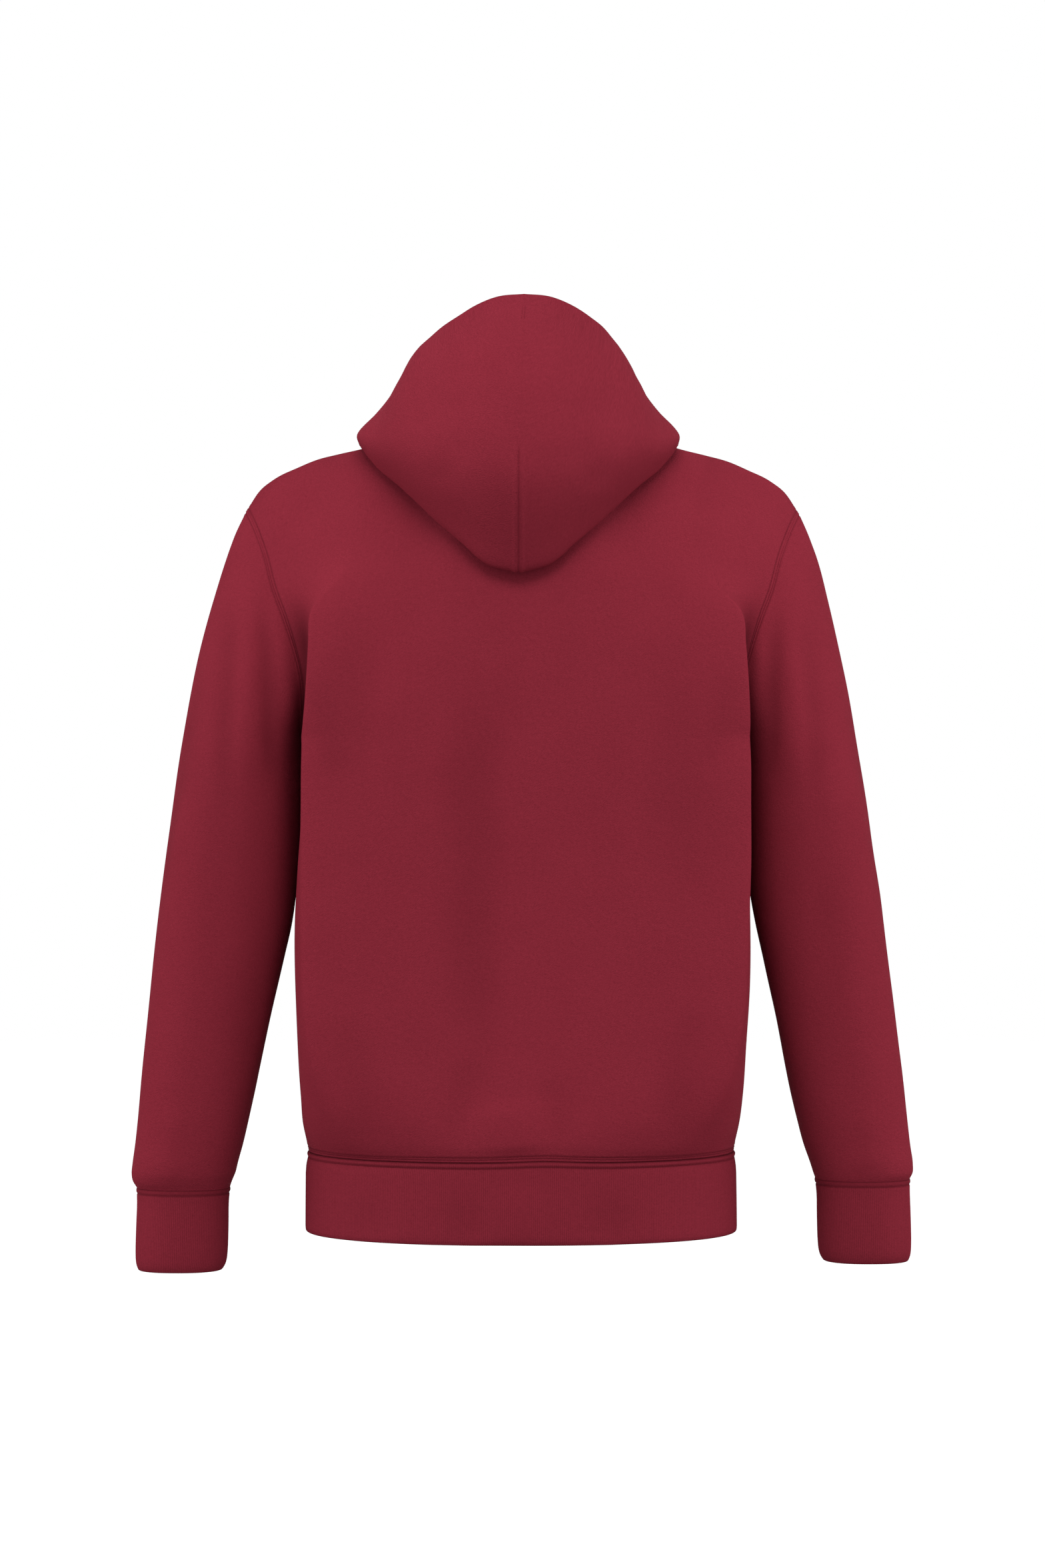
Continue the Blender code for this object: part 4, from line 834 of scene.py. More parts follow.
def drawnBack(grid, pulls):                  # makes room at seams for the rolled edge
    far = fromEdges(grid)
    for edge, pull in pulls.items():
        axis, sign = (0 if edge in ("low", "high") else 1), (1 if edge in ("low", "first") else -1)
        inward = unit(np.gradient(grid, axis=axis) * sign)
        grid = grid + inward * (pull * np.clip(1 - far[edge] / cut["seamPullReach"], 0, 1))[..., None]
    return grid


def shell(name, grid, lift, thickness, edges, closed=False, paintedShade=None, ribs=0, fade=None):
    # edges: rolling radius at low, high, first and last
    base = drawnBack(grid, {edge: radius * cut["seamPull"] for edge, radius in edges.items()})
    shaped = base + gridNormals(base, closed) * lift[..., None]
    normals = gridNormals(shaped, closed)
    far = fromEdges(base)
    cols = lift.shape[1]
    outside, outNormals, deep = extended(shaped, normals, np.zeros(lift.shape), 0, edges["low"], edges["high"])
    if not closed:
        outside, outNormals, deep = extended(outside, outNormals, deep, 1, edges["first"], edges["last"])
    margin = [(3, 3), (0, 0) if closed else (3, 3)]
    wall = np.pad(np.broadcast_to(np.asarray(thickness, float), lift.shape), margin, mode="edge")
    rowsOut, colsOut = wall.shape
    outer = outside - outNormals * deep[..., None]
    inner = outside - outNormals * (wall - deep)[..., None]
    index = np.arange(rowsOut * colsOut).reshape(rowsOut, colsOut)
    right = np.roll(index, -1, axis=1)
    span = colsOut if closed else colsOut - 1
    a, b, c, d = index[:-1, :span], right[:-1, :span], right[1:, :span], index[1:, :span]
    back = rowsOut * colsOut
    rims = [(right[0, :span], index[0, :span]), (index[-1, :span], right[-1, :span])]
    if not closed:
        rims += [(index[:-1, 0], index[1:, 0]), (index[1:, -1], index[:-1, -1])]
    faces = [np.stack([a, b, c, d], -1).reshape(-1, 4), np.stack([a, d, c, b], -1).reshape(-1, 4) + back]
    faces += [np.stack([one, two, two + back, one + back], -1) for one, two in rims]
    faces = np.concatenate(faces)
    mesh = bpy.data.meshes.new(name)
    mesh.from_pydata(np.concatenate([outer.reshape(-1, 3), inner.reshape(-1, 3)]).tolist(), [], faces.tolist())

    uv = np.stack([far["first"] - far["first"][:, cols // 2:cols // 2 + 1], far["low"]], axis=-1)
    uv = np.pad(uv, margin + [(0, 0)], mode="edge")
    cornerUv = np.tile(uv.reshape(-1, 2), (2, 1))[faces]
    if closed:                               # the last column's faces wrap round to the first
        turn = uv[:, -1, 0] + np.linalg.norm(base[0, 0] - base[0, -1]) - uv[:, 0, 0]
        row, column = np.divmod(faces % back, colsOut)
        wraps = (column.max(axis=1) - column.min(axis=1) > 1)[:, None] & (column == 0)
        cornerUv[..., 0] += np.where(wraps, turn[row], 0)
    mesh.uv_layers.new(name="clothUv").data.foreach_set("uv", cornerUv.astype(np.float32).ravel())
    stored(mesh, "insideFace", np.zeros(back), 1.0)
    if paintedShade is not None:                   # painted shade: where the cloth is sunk, its colour is a little darker
        stored(mesh, "paintedShade", np.pad(paintedShade, margin, mode="edge"))
    if ribs:
        count = np.linspace(0, ribs, cols, endpoint=not closed)
        count = np.tile(count if closed else np.pad(count, 3, mode="edge"), rowsOut)
        stored(mesh, "ribCount", count, count)
        stored(mesh, "ribFade", np.pad(fade, margin, mode="edge"))
    mesh.update()
    mesh.shade_smooth()
    return placed(name, mesh), shaped, normals


# shader maths
class Value:                                 # a socket that Python's operators work on
    def __init__(self, maker, socket):
        self.maker, self.socket = maker, socket

    def worked(self, operation, *parts):
        return self.maker.node("ShaderNodeMath", {"operation": operation}, parts)

    def __add__(self, other):
        return self.worked("ADD", self, other)

    def __sub__(self, other):
        return self.worked("SUBTRACT", self, other)

    def __rsub__(self, other):
        return self.worked("SUBTRACT", other, self)

    def __mul__(self, other):
        return self.worked("MULTIPLY", self, other)

    __radd__, __rmul__ = __add__, __mul__


class Finish:                                # a material and the nodes made for it
    def __init__(self, name, fixed):
        self.material = bpy.data.materials.new(name)
        self.material.use_nodes = True
        self.tree = self.material.node_tree
        self.shader = self.tree.nodes["Principled BSDF"]
        for socket, value in fixed.items():
            self.shader.inputs[socket].default_value = value

    def node(self, kind, settings=None, inputs=(), output=0):
        node = self.tree.nodes.new(kind)
        for key, value in (settings or {}).items():
            setattr(node, key, value)
        for key, value in inputs.items() if isinstance(inputs, dict) else enumerate(inputs):
            if isinstance(value, Value):
                self.tree.links.new(value.socket, node.inputs[key])
            else:
                node.inputs[key].default_value = value
        return Value(self, node.outputs[output])

    def clothPlace(self):
        return self.node("ShaderNodeUVMap", {"uv_map": "clothUv"})

    def objectPlace(self):
        return self.node("ShaderNodeTexCoord", output=3)

    def mapped(self, place, scale, turn=0.0):
        return self.node("ShaderNodeMapping", {}, {"Vector": place, "Rotation": (0, 0, turn), "Scale": scale})

    def noise(self, place, scale, detail=2.0, rough=0.5):
        inputs = {"Vector": place, "Scale": scale, "Detail": detail, "Roughness": rough}
        return self.node("ShaderNodeTexNoise", {}, inputs)

    def attribute(self, name):
        return self.node("ShaderNodeAttribute", {"attribute_name": name}, output=2)

    def mix(self, factor, one, two, clamped=False):
        factor = self.node("ShaderNodeClamp", {}, [factor]) if clamped else factor
        one, two = (colour if isinstance(colour, Value) else (*colour, 1) for colour in (one, two))
        return self.node("ShaderNodeMix", {"data_type": "RGBA"}, {0: factor, 6: one, 7: two}, 2)

    def feed(self, socket, value):
        self.tree.links.new(value.socket, self.shader.inputs[socket])

    def feedBump(self, height, strength, distance):
        inputs = {"Strength": strength, "Distance": distance, "Height": height}
        self.feed("Normal", self.node("ShaderNodeBump", {}, inputs))


clothLook = {
    "outside": {"colour": (0.210, 0.0195, 0.0336), "light": (0.250, 0.0245, 0.0412), "dark": (0.170, 0.0150, 0.0263)},
    "inside": {"colour": (0.200, 0.0190, 0.0320), "light": (0.250, 0.0270, 0.0440), "dark": (0.150, 0.0130, 0.0230)},
    "grainAngle": 42,            # degrees, the slant of the brushed grain
    "grainLength": 520,          # strokes to the metre, along and across
    "grainWidth": 1450,
    "grainHeight": 0.00110,
    "paintedShadeShare": 0.25,           # colour of the painted shade, as a share of the dark colour, where the cloth is sunk
    "stitchShade": 0.45,         # how much painted shade darkens the cloth in a row of stitches
    "creaseShade": 60.0,         # and how much painted shade there is for each metre that a crease is deep
}
ribLook = {
    # light and dark: the knit's random tone, and painted shade, dark in the valleys between the ribs
    "light": (0.222, 0.0213, 0.0362),
    "dark": (0.140, 0.0128, 0.0220),
    # colour of the painted shade below the ledge, along the seam and in fold troughs
    "sunk": (0.040, 0.0036, 0.0062),
    "loops": (900, 620, 1),      # to the metre, across and along
    "loopHeight": 0.0004,
}
tapeLook = {"light": (0.155, 0.014, 0.024, 1), "dark": (0.120, 0.011, 0.018, 1), "gaps": (0.060, 0.005, 0.009, 1)}
metalLook = {"light": (0.68, 0.66, 0.63), "dark": (0.50, 0.49, 0.47)}
threadLook = {"light": (0.150, 0.0120, 0.0215), "dark": (0.085, 0.0065, 0.0120)}
floorLook = {"light": (0.84, 0.84, 0.835), "dark": (0.80, 0.80, 0.80), "glow": 0.45}


def fleeceFinish(name, look, nap):           # nap 1 is the brushed inside
    f = Finish(name, {"Sheen Weight": 0.05 * nap, "Sheen Roughness": 0.6, "Specular IOR Level": 0.01})
    uv = f.clothPlace()
    slant = f.mapped(uv, (1, 1, 1), -radians(clothLook["grainAngle"]))
    grain = f.noise(f.mapped(slant, (clothLook["grainLength"], clothLook["grainWidth"], 1)), 1.0, 2.0, 0.6)
    mottle = f.noise(uv, 260.0, 3.0, 0.65)
    cloud = f.noise(uv, 22.0, 2.0, 0.5)
    fuzz = f.noise(uv, 2600.0, 1.0, 0.6)
    tone = (grain - 0.5) * 2.2 + (mottle - 0.5) * 0.8 + (cloud - 0.5) * 0.35 + 0.5
    even = f.mix(0.25, f.mix(tone, look["dark"], look["light"], clamped=True), look["colour"])
    # painted shade: the colour goes towards a darker one in crease troughs, rows of stitches, the armhole valley and
    # along the band's seam
    sunk = tuple(part * clothLook["paintedShadeShare"] for part in look["dark"])
    f.feed("Base Color", f.mix(f.attribute("paintedShade"), even, sunk, clamped=True))
    f.feedBump(grain + mottle * 0.4 + fuzz * (0.10 + 0.5 * nap), 0.7, clothLook["grainHeight"])
    f.feed("Roughness", 0.82 + mottle * 0.12)
    return f.material


def ribFinish(name):
    f = Finish(name, {"Specular IOR Level": 0.01})
    uv = f.clothPlace()
    loops = f.noise(f.mapped(uv, ribLook["loops"]), 1.0, 1.0, 0.5)
    mottle = f.noise(uv, 190.0, 3.0, 0.6)
    # painted shade: darker in the valleys between the raised ribs and lighter on their crests, with a random tone
    # from the loops and mottle
    tone = f.attribute("ribHeight") * 0.9 + (loops - 0.5) * 0.9 + (mottle - 0.5) * 0.5 + 0.10
    even = f.mix(tone, ribLook["dark"], ribLook["light"], clamped=True)
    # painted shade: towards the sunk colour below the ledge, along the seam and in fold troughs
    f.feed("Base Color", f.mix(f.attribute("paintedShade"), even, ribLook["sunk"], clamped=True))
    f.feedBump(loops + mottle * 0.5, 0.6, ribLook["loopHeight"])
    f.feed("Roughness", 0.80 + mottle * 0.14)
    return f.material


def tapeFinish(name):
    f = Finish(name, {"Sheen Weight": 0.1})
    uv = f.clothPlace()
    weave = f.node("ShaderNodeTexBrick", {"offset": 0.5}, {
        "Vector": uv, "Color1": tapeLook["light"], "Color2": tapeLook["dark"], "Mortar": tapeLook["gaps"],
        "Scale": 500.0, "Mortar Size": 0.05, "Brick Width": 0.8, "Row Height": 0.4,
    })
    f.feed("Base Color", weave)
    f.feedBump(f.node("ShaderNodeRGBToBW", {}, [weave]), 0.4, 0.0002)
    f.feed("Roughness", 0.62 + f.noise(uv, 300.0) * 0.15)
    return f.material


def metalFinish(name):
    f = Finish(name, {"Metallic": 1.0})
    place = f.objectPlace()
    cloud = f.noise(place, 500.0, 3.0, 0.6)
    scratch = f.noise(f.mapped(place, (9000, 1500, 1500)), 1.0, 2.0, 0.6)
    f.feed("Base Color", f.mix(cloud, metalLook["dark"], metalLook["light"]))
    f.feed("Roughness", 0.20 + cloud * 0.18 + scratch * 0.10)
    f.feedBump(scratch, 0.12, 0.0001)
    return f.material


def threadFinish(name):
    f = Finish(name, {"Specular IOR Level": 0.02})
    twist = f.noise(f.objectPlace(), 2500.0, 2.0, 0.6)
    f.feed("Base Color", f.mix(twist, threadLook["dark"], threadLook["light"]))
    f.feed("Roughness", 0.8 + twist * 0.15)
    return f.material


def floorFinish(name):
    f = Finish(name, {"Emission Color": (1, 1, 1, 1), "Emission Strength": floorLook["glow"]})
    grain = f.noise(f.objectPlace(), 3.0, 4.0, 0.5)
    f.feed("Base Color", f.mix(grain, floorLook["dark"], floorLook["light"]))
    f.feed("Roughness", 0.65 + grain * 0.1)
    return f.material


fleece = [fleeceFinish("burgundyFleece", clothLook["outside"], 0.0),
          fleeceFinish("burgundyFleeceInside", clothLook["inside"], 1.0)]
ribKnit = ribFinish("burgundyRib")
zipTape = tapeFinish("burgundyZipTape")
zipMetal = metalFinish("nickelZip")
thread = threadFinish("burgundyThread")
print("finishes made")


# geometry nodes
class Tree:                                  # a node tree for a modifier, with named inputs
    def __init__(self, name, inputs):
        self.tree = bpy.data.node_groups.new(name, "GeometryNodeTree")
        self.tree.interface.new_socket("Geometry", in_out="INPUT", socket_type="NodeSocketGeometry")
        self.ids = {}
        for label, value in inputs.items():
            kind = "NodeSocketMaterial" if value is None else "NodeSocketFloat"
            socket = self.tree.interface.new_socket(label, in_out="INPUT", socket_type=kind)
            if value is not None:
                socket.default_value = value
            self.ids[label] = socket.identifier
        self.tree.interface.new_socket("Geometry", in_out="OUTPUT", socket_type="NodeSocketGeometry")
        self.given = self.tree.nodes.new("NodeGroupInput").outputs
        self.end = self.tree.nodes.new("NodeGroupOutput")

    def node(self, kind, settings=None, inputs=None):    # gives the node's first output
        node = self.tree.nodes.new(kind)
        for key, value in (settings or {}).items():
            setattr(node, key, value)
        for key, value in (inputs or {}).items():
            for one in value if isinstance(value, list) else [value]:
                if isinstance(one, bpy.types.NodeSocket):
                    self.tree.links.new(one, node.inputs[key])
                else:
                    node.inputs[key].default_value = one
        return node.outputs[0]

    def maths(self, operation, *parts):
        return self.node("ShaderNodeMath", {"operation": operation}, dict(enumerate(parts)))

    def repeated(self, pitch, shape, turning, scale=(1, 1, 1)):    # sets a shape at every step along the given line
        line = self.node("GeometryNodeMeshToCurve", {}, {"Mesh": self.given["Geometry"]})
        steps = self.node("GeometryNodeResampleCurve", {"mode": "LENGTH"}, {"Curve": line, "Length": pitch})
        tangent = self.node("GeometryNodeInputTangent")
        turned = self.node("FunctionNodeAlignRotationToVector", {"axis": "Z", **turning}, {"Vector": tangent})
        return self.node("GeometryNodeInstanceOnPoints", {}, {
            "Points": steps, "Instance": shape, "Rotation": turned, "Scale": scale,
        })

    def close(self, geometry, material):
        real = self.node("GeometryNodeRealizeInstances", {}, {"Geometry": geometry})
        painted = self.node("GeometryNodeSetMaterial", {}, {"Geometry": real, "Material": self.given[material]})
        self.tree.links.new(painted, self.end.inputs[0])
        return self

    def turnPlain(self, piece, values):      # runs the tree on a piece and keeps the result as its mesh
        modifier = piece.modifiers.new("made", "NODES")
        modifier.node_group = self.tree
        for label, value in values.items():
            modifier[self.ids[label]] = value
        graph = bpy.context.evaluated_depsgraph_get()
        mesh = bpy.data.meshes.new_from_object(piece.evaluated_get(graph), depsgraph=graph)
        piece.modifiers.remove(modifier)
        piece.data = mesh


def ribTree():
    t = Tree("raisedRibs", {"Rib depth": 0.0005, "Rib material": None})
    count, fade = (t.node("GeometryNodeInputNamedAttribute", {"data_type": "FLOAT"}, {"Name": name})
                   for name in ("ribCount", "ribFade"))
    wave = t.maths("COSINE", t.maths("MULTIPLY", count, 2 * pi))
    shown = t.maths("MULTIPLY", t.maths("MULTIPLY_ADD", wave, 0.5, 0.5), fade)
    kept = t.node("GeometryNodeStoreNamedAttribute", {"data_type": "FLOAT", "domain": "POINT"},
                  {"Geometry": t.given["Geometry"], "Name": "ribHeight", "Value": shown})
    offset = t.node("ShaderNodeVectorMath", {"operation": "SCALE"},
                    {0: t.node("GeometryNodeInputNormal"), "Scale": t.maths("MULTIPLY", shown, t.given["Rib depth"])})
    return t.close(t.node("GeometryNodeSetPosition", {}, {"Geometry": kept, "Offset": offset}), "Rib material")


def stitchTree():
    t = Tree("topstitches", {"Stitch pitch": 0.003, "Thread width": 0.0005, "Thread": None})
    bead = t.node("GeometryNodeMeshUVSphere", {}, {"Segments": 6, "Rings": 4, "Radius": 0.5})
    width, length = t.given["Thread width"], t.maths("MULTIPLY", t.given["Stitch pitch"], 0.92)
    size = t.node("ShaderNodeCombineXYZ", {}, {"X": width, "Y": width, "Z": length})
    return t.close(t.repeated(t.given["Stitch pitch"], bead, {}, size), "Thread")


def teethTree():
    t = Tree("zipTeeth", {"Tooth pitch": 0.0025, "Tooth width": 0.0026, "Tooth depth": 0.0020, "Metal": None})
    thick = t.maths("MULTIPLY", t.given["Tooth pitch"], 0.44)
    size = t.node("ShaderNodeCombineXYZ", {}, {"X": t.given["Tooth width"], "Y": t.given["Tooth depth"], "Z": thick})
    less = t.node("ShaderNodeVectorMath", {"operation": "MULTIPLY"}, {0: size, 1: (1.16, 0.62, 0.72)})
    block, nose = (t.node("GeometryNodeMeshCube", {}, {"Size": one}) for one in (size, less))
    both = t.node("GeometryNodeJoinGeometry", {}, {0: [block, nose]})
    return t.close(t.repeated(t.given["Tooth pitch"], both, {"pivot_axis": "X"}), "Metal")


# the pieces
def dressed(piece, node, materials):
    piece.data.materials.clear()
    for material in materials:
        piece.data.materials.append(material)
    if len(materials) > 1:                   # the inner face is the brushed side
        side = np.zeros(len(piece.data.vertices), np.float32)
        piece.data.attributes["insideFace"].data.foreach_get("value", side)
        corners = np.zeros(len(piece.data.loops), np.int32)
        piece.data.loops.foreach_get("vertex_index", corners)
        inner = side[corners].reshape(-1, 4).min(axis=1)
        piece.data.polygons.foreach_set("material_index", (inner > 0.5).astype(np.int32))
    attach(piece, "garment")
    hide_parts(node)


seamRoll, hemRoll, freeRoll = cut["seamRoll"], cut["hemRoll"], cut["freeRoll"]
stitchRows = []                              # lines that get topstitches: points, on the cloth
armRow = len(bodyHeights) - 1                # the row at the armpit
valley = {                                   # painted shade on the cloth between the back's side fold and the armhole
    "shade": 0.72,
    "place": 0.90,
    "width": 0.105,
    "top": -0.124,
    "topFade": 0.050,
    "foot": -0.285,
    "footFade": 0.030,
    "seamShade": 0.5,            # and along the rib band's seam
    "seamWidth": 0.0009,
}


def valleyShade(name, grid):
    if name != "back":
        return 0.0
    level = grid[..., 2]
    down = ease((valley["top"] - level) / valley["topFade"]) * ease((level - valley["foot"]) / valley["footFade"])
    seamShade = valley["seamShade"] * bell(level, cut["hemSeam"], valley["seamWidth"])
    return valley["shade"] * down * bell(backPlaces[None, :], valley["place"], valley["width"]) + seamShade


def stitchMask(name, edge, grid):            # the side seams have no topstitching, only the armholes do
    mask = np.ones(grid.shape[:2])
    if (name, edge) in (("back", "first"), ("back", "last"), ("frontLeft", "last"), ("frontRight", "first")):
        mask[:armRow] = 0
    return mask


def lineAt(shaped, normals, away, edge, distance):    # a line on the outside, at a distance from an edge
    both = np.concatenate([shaped, normals], axis=2)
    if edge in ("low", "high"):
        both, away = both.transpose(1, 0, 2), away.T
    found = []
    for line, far in zip(both, away):
        order = np.argsort(far)
        found.append([np.interp(distance, far[order], line[order, j]) for j in range(6)])
    found = np.array(found)
    return found[:, :3] - found[:, 3:] * stitchShape["sink"]


def clothPiece(name, nodeName, grid, lines, edges, closed=False):
    far = fromEdges(grid)
    free = np.ones(grid.shape[:2])
    for edge in edges:
        free = np.minimum(free, ease(far[edge] / clothWaves["sleeveFade" if closed else "panelFade"]))
    waves = clothWaves["sleeves" if closed else "panels"]
    lift = (creaseLift(name, grid, gridNormals(grid, closed)) + softWaves(grid, clothWaves["long"], waves, len(name))
            + softWaves(grid, clothWaves["short"], waves * clothWaves["shortShare"], len(name) + 2)) * free
    # painted shade: darker in the troughs of creases and waves, in the armhole valley and, below, along the rows of
    # stitches
    paintedShade = -lift * clothLook["creaseShade"] + valleyShade(name, grid)
    for edge, where in lines.items():
        weight = stitchMask(name, edge, grid)
        lift = lift + stitchedSeam(far[edge], where) * weight
        for line in where:                   # the row farthest from the seam shows most
            shade = clothLook["stitchShade"] * (1.0 if line == where[-1] else 0.5)
            paintedShade = paintedShade + shade * bell(far[edge], line, stitchShape["width"]) * weight
    piece, shaped, turned = shell(name, grid, lift, cut["fleece"], edges, closed, paintedShade)
    far = fromEdges(shaped)
    ends = {"low": np.s_[0], "high": np.s_[-1], "first": np.s_[:, 0], "last": np.s_[:, -1]}
    for edge, where in lines.items():
        mask = stitchMask(name, edge, grid)[ends[edge]] > 0.5
        for distance in where:
            line = lineAt(shaped, turned, far[edge], edge, distance)[mask]
            if edge in ("first", "last"):
                line = line[:-stitchShape["skipped"]]
            stitchRows.append(np.vstack([line, line[:1]]) if closed else line)
    dressed(piece, nodeName, fleece)


seam = (cut["stitchFromSeam"],)
seams = {"low": hemRoll, "high": seamRoll, "first": seamRoll, "last": seamRoll}
hem, zipSide = cut["hemStitches"], (cut["frontStitches"],)
clothPiece("back", "back", backGrid, {"low": hem, "first": seam, "last": seam}, seams)
clothPiece("frontLeft", "front_left", frontLeftGrid, {"low": hem, "last": seam, "first": zipSide},
           {**seams, "first": freeRoll})
clothPiece("frontRight", "front_right", frontRightGrid, {"low": hem, "first": seam, "last": zipSide},
           {**seams, "last": freeRoll})
for side, area in (("Left", 0.1788), ("Right", 0.1731)):
    clothPiece("sleeve" + side, "sleeve_" + side.lower(), sleeves[side], {"high": seam},
               {"low": seamRoll, "high": seamRoll}, closed=True)
print("fleece pieces made")


def ribPiece(name, nodeName, grid, ribs, edges, closed, onLedge, ledgeHeight):
    far, d = fromEdges(grid), ribDetail
    down, below = far["high"], far["high"] - d["ledge"]
    lift = ledgeHeight * np.sin(pi * np.clip(down / d["ledge"], 0, 1)) ** 0.8
    lift = lift - d["groove"] * bell(below, d["grooveAt"], d["grooveWidth"])
    fade = ease(down / d["seamFade"]) * (onLedge + (1 - onLedge) * ease(below / d["ledgeFade"]))
    fade = fade * (d["foldShare"] + (1 - d["foldShare"]) * ease(far["low"] / d["foldFade"]))
    folds = softWaves(grid, d["waveSize"], d["wave"], len(name)) + creaseLift(name, grid, gridNormals(grid, closed))
    folds = folds * ease(down / d["waveFade"])
    # painted shade below the ledge, along the seam and in the troughs of the folds
    (shade, at, width), (seamShade, seamAt, seamWidth) = d["grooveShade"], d["seamShade"]
    under = shade * bell(below, at, width) + seamShade * bell(down, seamAt, seamWidth)
    paintedShade = under - folds * clothLook["creaseShade"]
    piece, _, _ = shell(name, grid, lift + folds, cut["rib"], edges, closed, paintedShade, ribs, fade)
    raisedRibs.turnPlain(piece, {"Rib depth": ribDetail["depth"], "Rib material": ribKnit})
    dressed(piece, nodeName, [ribKnit])


raisedRibs = ribTree()
folded = 0.48 * cut["rib"]
ribPiece("waistband", "waistband", waistbandGrid, bandRibs,
         {"low": folded, "high": hemRoll, "first": freeRoll, "last": freeRoll},
         False, 0.75, ribDetail["bandLedge"])
for side, area in (("Left", 0.0169), ("Right", 0.0179)):
    ribPiece("cuff" + side, "cuff_" + side.lower(), cuffs[side], cuffs[side].shape[1] // ribDetail["columnsPerRib"],
             {"low": folded, "high": seamRoll}, True, 0.10, ribDetail["cuffLedge"])
print("rib pieces made")

# the hood's own piece
crownRow = {                                 # a short double row at the crown, closed off below
    "from": 0.0965,
    "to": 0.1090,
    "apart": 0.0009,
    "groove": 0.0003,
    "grooveWidth": 0.0004,
    "sink": 0.0001,              # of the thread
}
centreSeam = {                               # depth below 0, place beside the seam and width
    "groove": (-0.0013, 0.0, 0.0009),
    "puff": (0.0005, 0.0030, 0.0016),        # on both sides
    "sunkSide": (-0.0006, 0.022, 0.018),     # and on the right side only
    "top": -0.014,               # height where it ends
    "fromNeck": 0.05,            # where it starts
}
hoodWaves = {
    "size": 0.07,
    "height": 0.0011,
    "neckFade": 0.03,            # waves and creases end this far from the seam and the edges
    "edgeFade": 0.02,
    "offBody": 0.13,             # and they start where the cloth leaves the body
}
hoodFar = fromEdges(hoodSurface)
fromCentre = hoodFar["first"] - hoodFar["first"][:, centreColumn:centreColumn + 1]    # + towards the right side
fromNeck, fromRim, level = hoodFar["low"], hoodFar["high"], hoodSurface[..., 2]
inMark = (level > crownRow["from"]) & (level < crownRow["to"]) & (fromRim < 0.05)
hoodLift = 0.0
for part, where in (("groove", fromCentre), ("puff", abs(fromCentre)), ("sunkSide", fromCentre)):
    depth, at, width = centreSeam[part]
    hoodLift = hoodLift + depth * bell(where, at, width)
hoodLift = hoodLift * ease((centreSeam["top"] - level) / 0.004) * ease((fromNeck - centreSeam["fromNeck"]) / 0.03)
hoodLift = hoodLift - crownRow["groove"] * bell(abs(fromCentre), crownRow["apart"], crownRow["grooveWidth"]) * inMark
hoodFree = ease(fromNeck / hoodWaves["neckFade"]) * ease((fromNeck - hoodWaves["offBody"]) / 0.05)
for edge in ("high", "first", "last"):
    hoodFree = hoodFree * ease(hoodFar[edge] / hoodWaves["edgeFade"])
hoodFolds = creaseLift("hood", hoodSurface, gridNormals(hoodSurface, False))
hoodFolds = hoodFolds + softWaves(hoodSurface, hoodWaves["size"], hoodWaves["height"], 4)
hoodLift = hoodLift + hoodFolds * hoodFree
casing = 1 - ease((fromRim - hoodDetail["casing"]) / 0.003)
hood, hoodShaped, hoodTurned = shell(
    "hood", hoodSurface, hoodLift, cut["fleece"] + (cut["hoodCasing"] - cut["fleece"]) * casing,
    {"low": seamRoll, "high": hoodDetail["rimRoll"], "first": freeRoll, "last": freeRoll})
dressed(hood, "hood", fleece)
for away in (-crownRow["apart"], crownRow["apart"]):
    column = np.argmin(abs(fromCentre[-1] - away))
    stitchRows.append((hoodShaped - hoodTurned * crownRow["sink"])[inMark[:, column], column])
print("hood made")

zipLook = {
    "tapeHalfGap": 0.0003,
    "tapeWidth": 0.0150,
    "tapeThickness": 0.0008,
    "tapeDepth": 0.0034,         # behind the front's face, and this much more at its far edge
    "tapeTurn": 0.0008,
    "tapeRoll": 0.0003,
    "aboveHem": 0.0050,
    "belowNeck": 0.0073,
    "toothPitch": 0.0030,
    "toothWidth": 0.0030,
    "toothDepth": 0.0022,
    "toothOffset": 0.00105,      # from the middle, and proud of the tape
    "toothProud": 0.0002,
}


def pathObject(name, lines):
    verts, edges = [], []
    for line in lines:
        base = len(verts)
        verts += [tuple(p) for p in line]
        edges += [(base + k, base + k + 1) for k in range(len(line) - 1)]
    mesh = bpy.data.meshes.new(name)
    mesh.from_pydata(verts, edges, [])
    return placed(name, mesh)


def zipLine():                               # up the middle of the front
    line = np.vstack([waistbandGrid[:-1, 0], frontLeftGrid[:, 0]])
    line[:, 0] = 0.0
    length = lengthsAlong(line)[-1]
    return along(line, np.linspace(zipLook["aboveHem"] / length, 1 - zipLook["belowNeck"] / length, 160))


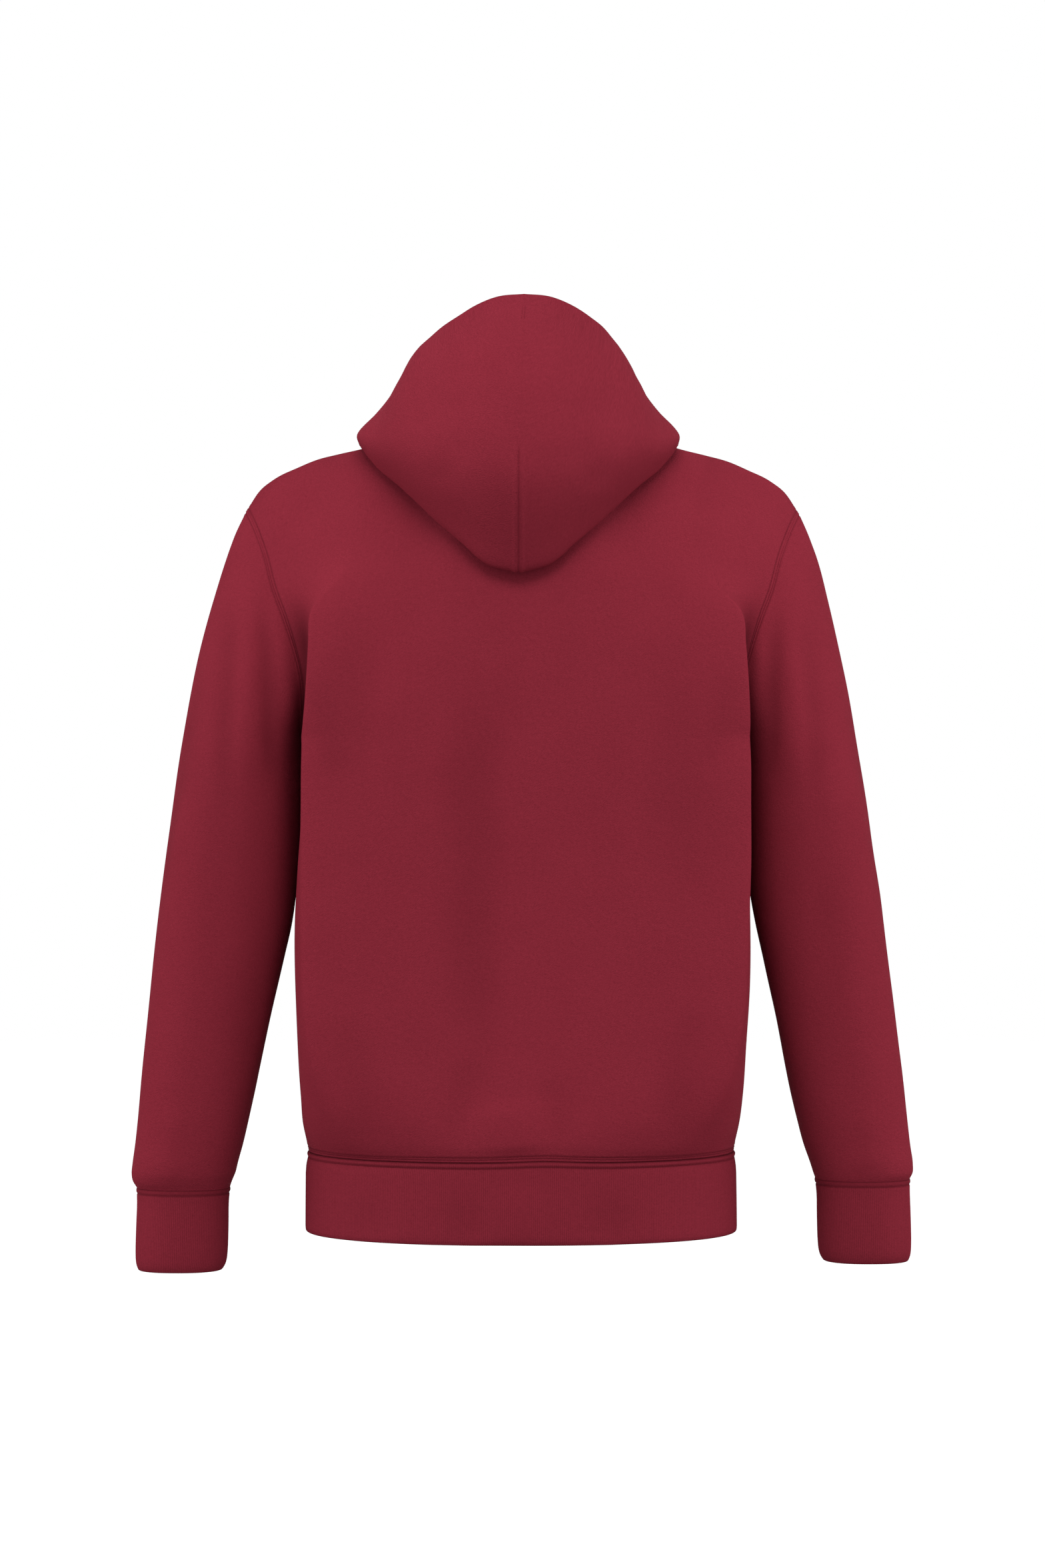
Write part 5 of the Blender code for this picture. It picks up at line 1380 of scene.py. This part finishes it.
def zipSidePieces(side, turn, start):
    line = zipLine()
    up = unit(np.gradient(line, axis=0))
    out = np.stack([np.zeros(len(up)), -up[:, 2], up[:, 1]], axis=1)
    width, deep, pitch = zipLook["tapeWidth"], zipLook["tapeDepth"], zipLook["toothPitch"]
    across = np.linspace(0, 1, 14)
    x = turn * (zipLook["tapeHalfGap"] + width * across)
    back = deep + zipLook["tapeTurn"] * across
    grid = line[:, None] + np.stack([x, 0 * x, 0 * x], axis=1)[None] - out[:, None] * back[None, :, None]
    grid = grid[:, ::turn]
    edges = dict.fromkeys(("low", "high", "first", "last"), zipLook["tapeRoll"])
    tape, _, _ = shell("zipTape" + side, grid, np.zeros(grid.shape[:2]), zipLook["tapeThickness"], edges)
    length = lengthsAlong(line)[-1]
    dressed(tape, "zip_tape_" + side.lower(), [zipTape])
    middle = line + out * (zipLook["toothProud"] - deep) + np.array([turn * zipLook["toothOffset"], 0, 0])
    path = along(middle, np.linspace(0, 1, 200))[2:-2]
    length = lengthsAlong(path)[-1]
    path = along(path, np.linspace(start * pitch / length, 1 - (1 - start) * pitch / length, 200))
    teeth = pathObject("zipTeeth" + side, [path])
    zipTeeth.turnPlain(teeth, {"Tooth pitch": pitch, "Tooth width": zipLook["toothWidth"],
                               "Tooth depth": zipLook["toothDepth"], "Metal": zipMetal})
    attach(teeth, "garment")


zipTeeth = teethTree()
zipSidePieces("Left", 1, 0.0)
zipSidePieces("Right", -1, 0.5)              # half a tooth further up
for name in ("zip_slider", "zip_pull", "zip_box"):
    node = frame["nodes"][name]
    node.data.materials.clear()
    node.data.materials.append(zipMetal)
print("zip made")

stitchLook = {"pitch": 0.0030, "width": 0.00045}
stitches = pathObject("topstitching", stitchRows)
stitchTree().turnPlain(stitches, {"Stitch pitch": stitchLook["pitch"], "Thread width": stitchLook["width"],
                                  "Thread": thread})
stitches.data.shade_smooth()
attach(stitches, "garment")
print("topstitching made:", len(stitches.data.polygons), "faces")

# floor, light and camera
studio = {
    "floorBelow": 1.40,          # the wearer's shoulder height
    "floorHalf": 14.0,
    "skyLow": 0.50,
    "skyHigh": 0.90,
    "lights": {                  # place, target, size, power
        "keyLight": ((0, 3.0, 2.2), (0, 0, -0.25), (2.2, 1.5), 72),
        "leftLight": ((3.4, 0.3, 0.6), (0.1, 0, -0.3), (2.0, 2.4), 58),
        "rightLight": ((-3.4, 0.3, 0.6), (-0.1, 0, -0.3), (2.0, 2.4), 58),
        "behindLight": ((0, -3.2, 1.4), (0, 0, -0.3), (3.0, 2.0), 8),
        "topLight": ((0, 0.6, 3.0), (0, 0, -0.3), (3.0, 2.6), 4),
        "fillLight": ((0, 3.9, -0.3), (0, 0, -0.3), (2.4, 2.0), 15),
    },
    "cameraAway": 3.5,           # from the middle of the garment, level with it
    "cameraHeight": -0.28966,
    "seenHalf": 0.675862,        # half of the longer side of the picture there, in metres
}


def makeFloor():
    mesh = bpy.data.meshes.new("floor")
    r, z = studio["floorHalf"], -studio["floorBelow"]
    mesh.from_pydata([(-r, -r, z), (r, -r, z), (r, r, z), (-r, r, z)], [], [(0, 1, 2, 3)])
    mesh.materials.append(floorFinish("paleFloor"))
    floor = placed("floor", mesh)
    floor.visible_diffuse = False            # the sky alone gives the light from below


def softbox(name, place, target, size, power):
    light = bpy.data.lights.new(name, "AREA")
    light.shape, light.size, light.size_y = "RECTANGLE", size[0], size[1]
    light.energy = power
    lamp = placed(name, light)
    lamp.location = place
    lamp.rotation_euler = (Vector(target) - Vector(place)).to_track_quat("-Z", "Y").to_euler()


def makeSky():                               # white where it is seen, softer where it lights the cloth
    world = bpy.data.worlds.new("studioSky")
    bpy.context.scene.world = world
    world.use_nodes = True
    tree = world.node_tree
    tree.nodes.clear()
    seen, lit, place, parts, ramp, path, mix, out = (tree.nodes.new("ShaderNode" + kind) for kind in (
        "Background", "Background", "TexCoord", "SeparateXYZ", "MapRange", "LightPath", "MixShader", "OutputWorld"))
    seen.inputs[0].default_value = (1.0, 1.0, 1.0, 1)
    limits = {"From Min": -0.6, "From Max": 0.7, "To Min": studio["skyLow"], "To Max": studio["skyHigh"]}
    for socket, value in limits.items():
        ramp.inputs[socket].default_value = value
    for start, end in (
        (place.outputs["Generated"], parts.inputs[0]), (parts.outputs["Z"], ramp.inputs["Value"]),
        (ramp.outputs[0], lit.inputs[1]), (path.outputs["Is Camera Ray"], mix.inputs[0]),
        (lit.outputs[0], mix.inputs[1]), (seen.outputs[0], mix.inputs[2]), (mix.outputs[0], out.inputs[0]),
    ):
        tree.links.new(start, end)


makeFloor()
makeSky()
for name, light in studio["lights"].items():
    softbox(name, *light)
bpy.context.scene.view_settings.view_transform = "Standard"

cameraData = bpy.data.cameras.new("camera")
cameraData.sensor_width = 36
cameraData.lens = 18 * studio["cameraAway"] / studio["seenHalf"]
camera = placed("camera", cameraData)
camera.location = (0, studio["cameraAway"], studio["cameraHeight"])
camera.rotation_euler = (pi / 2, 0, pi)
bpy.context.scene.camera = camera

print("scene made")
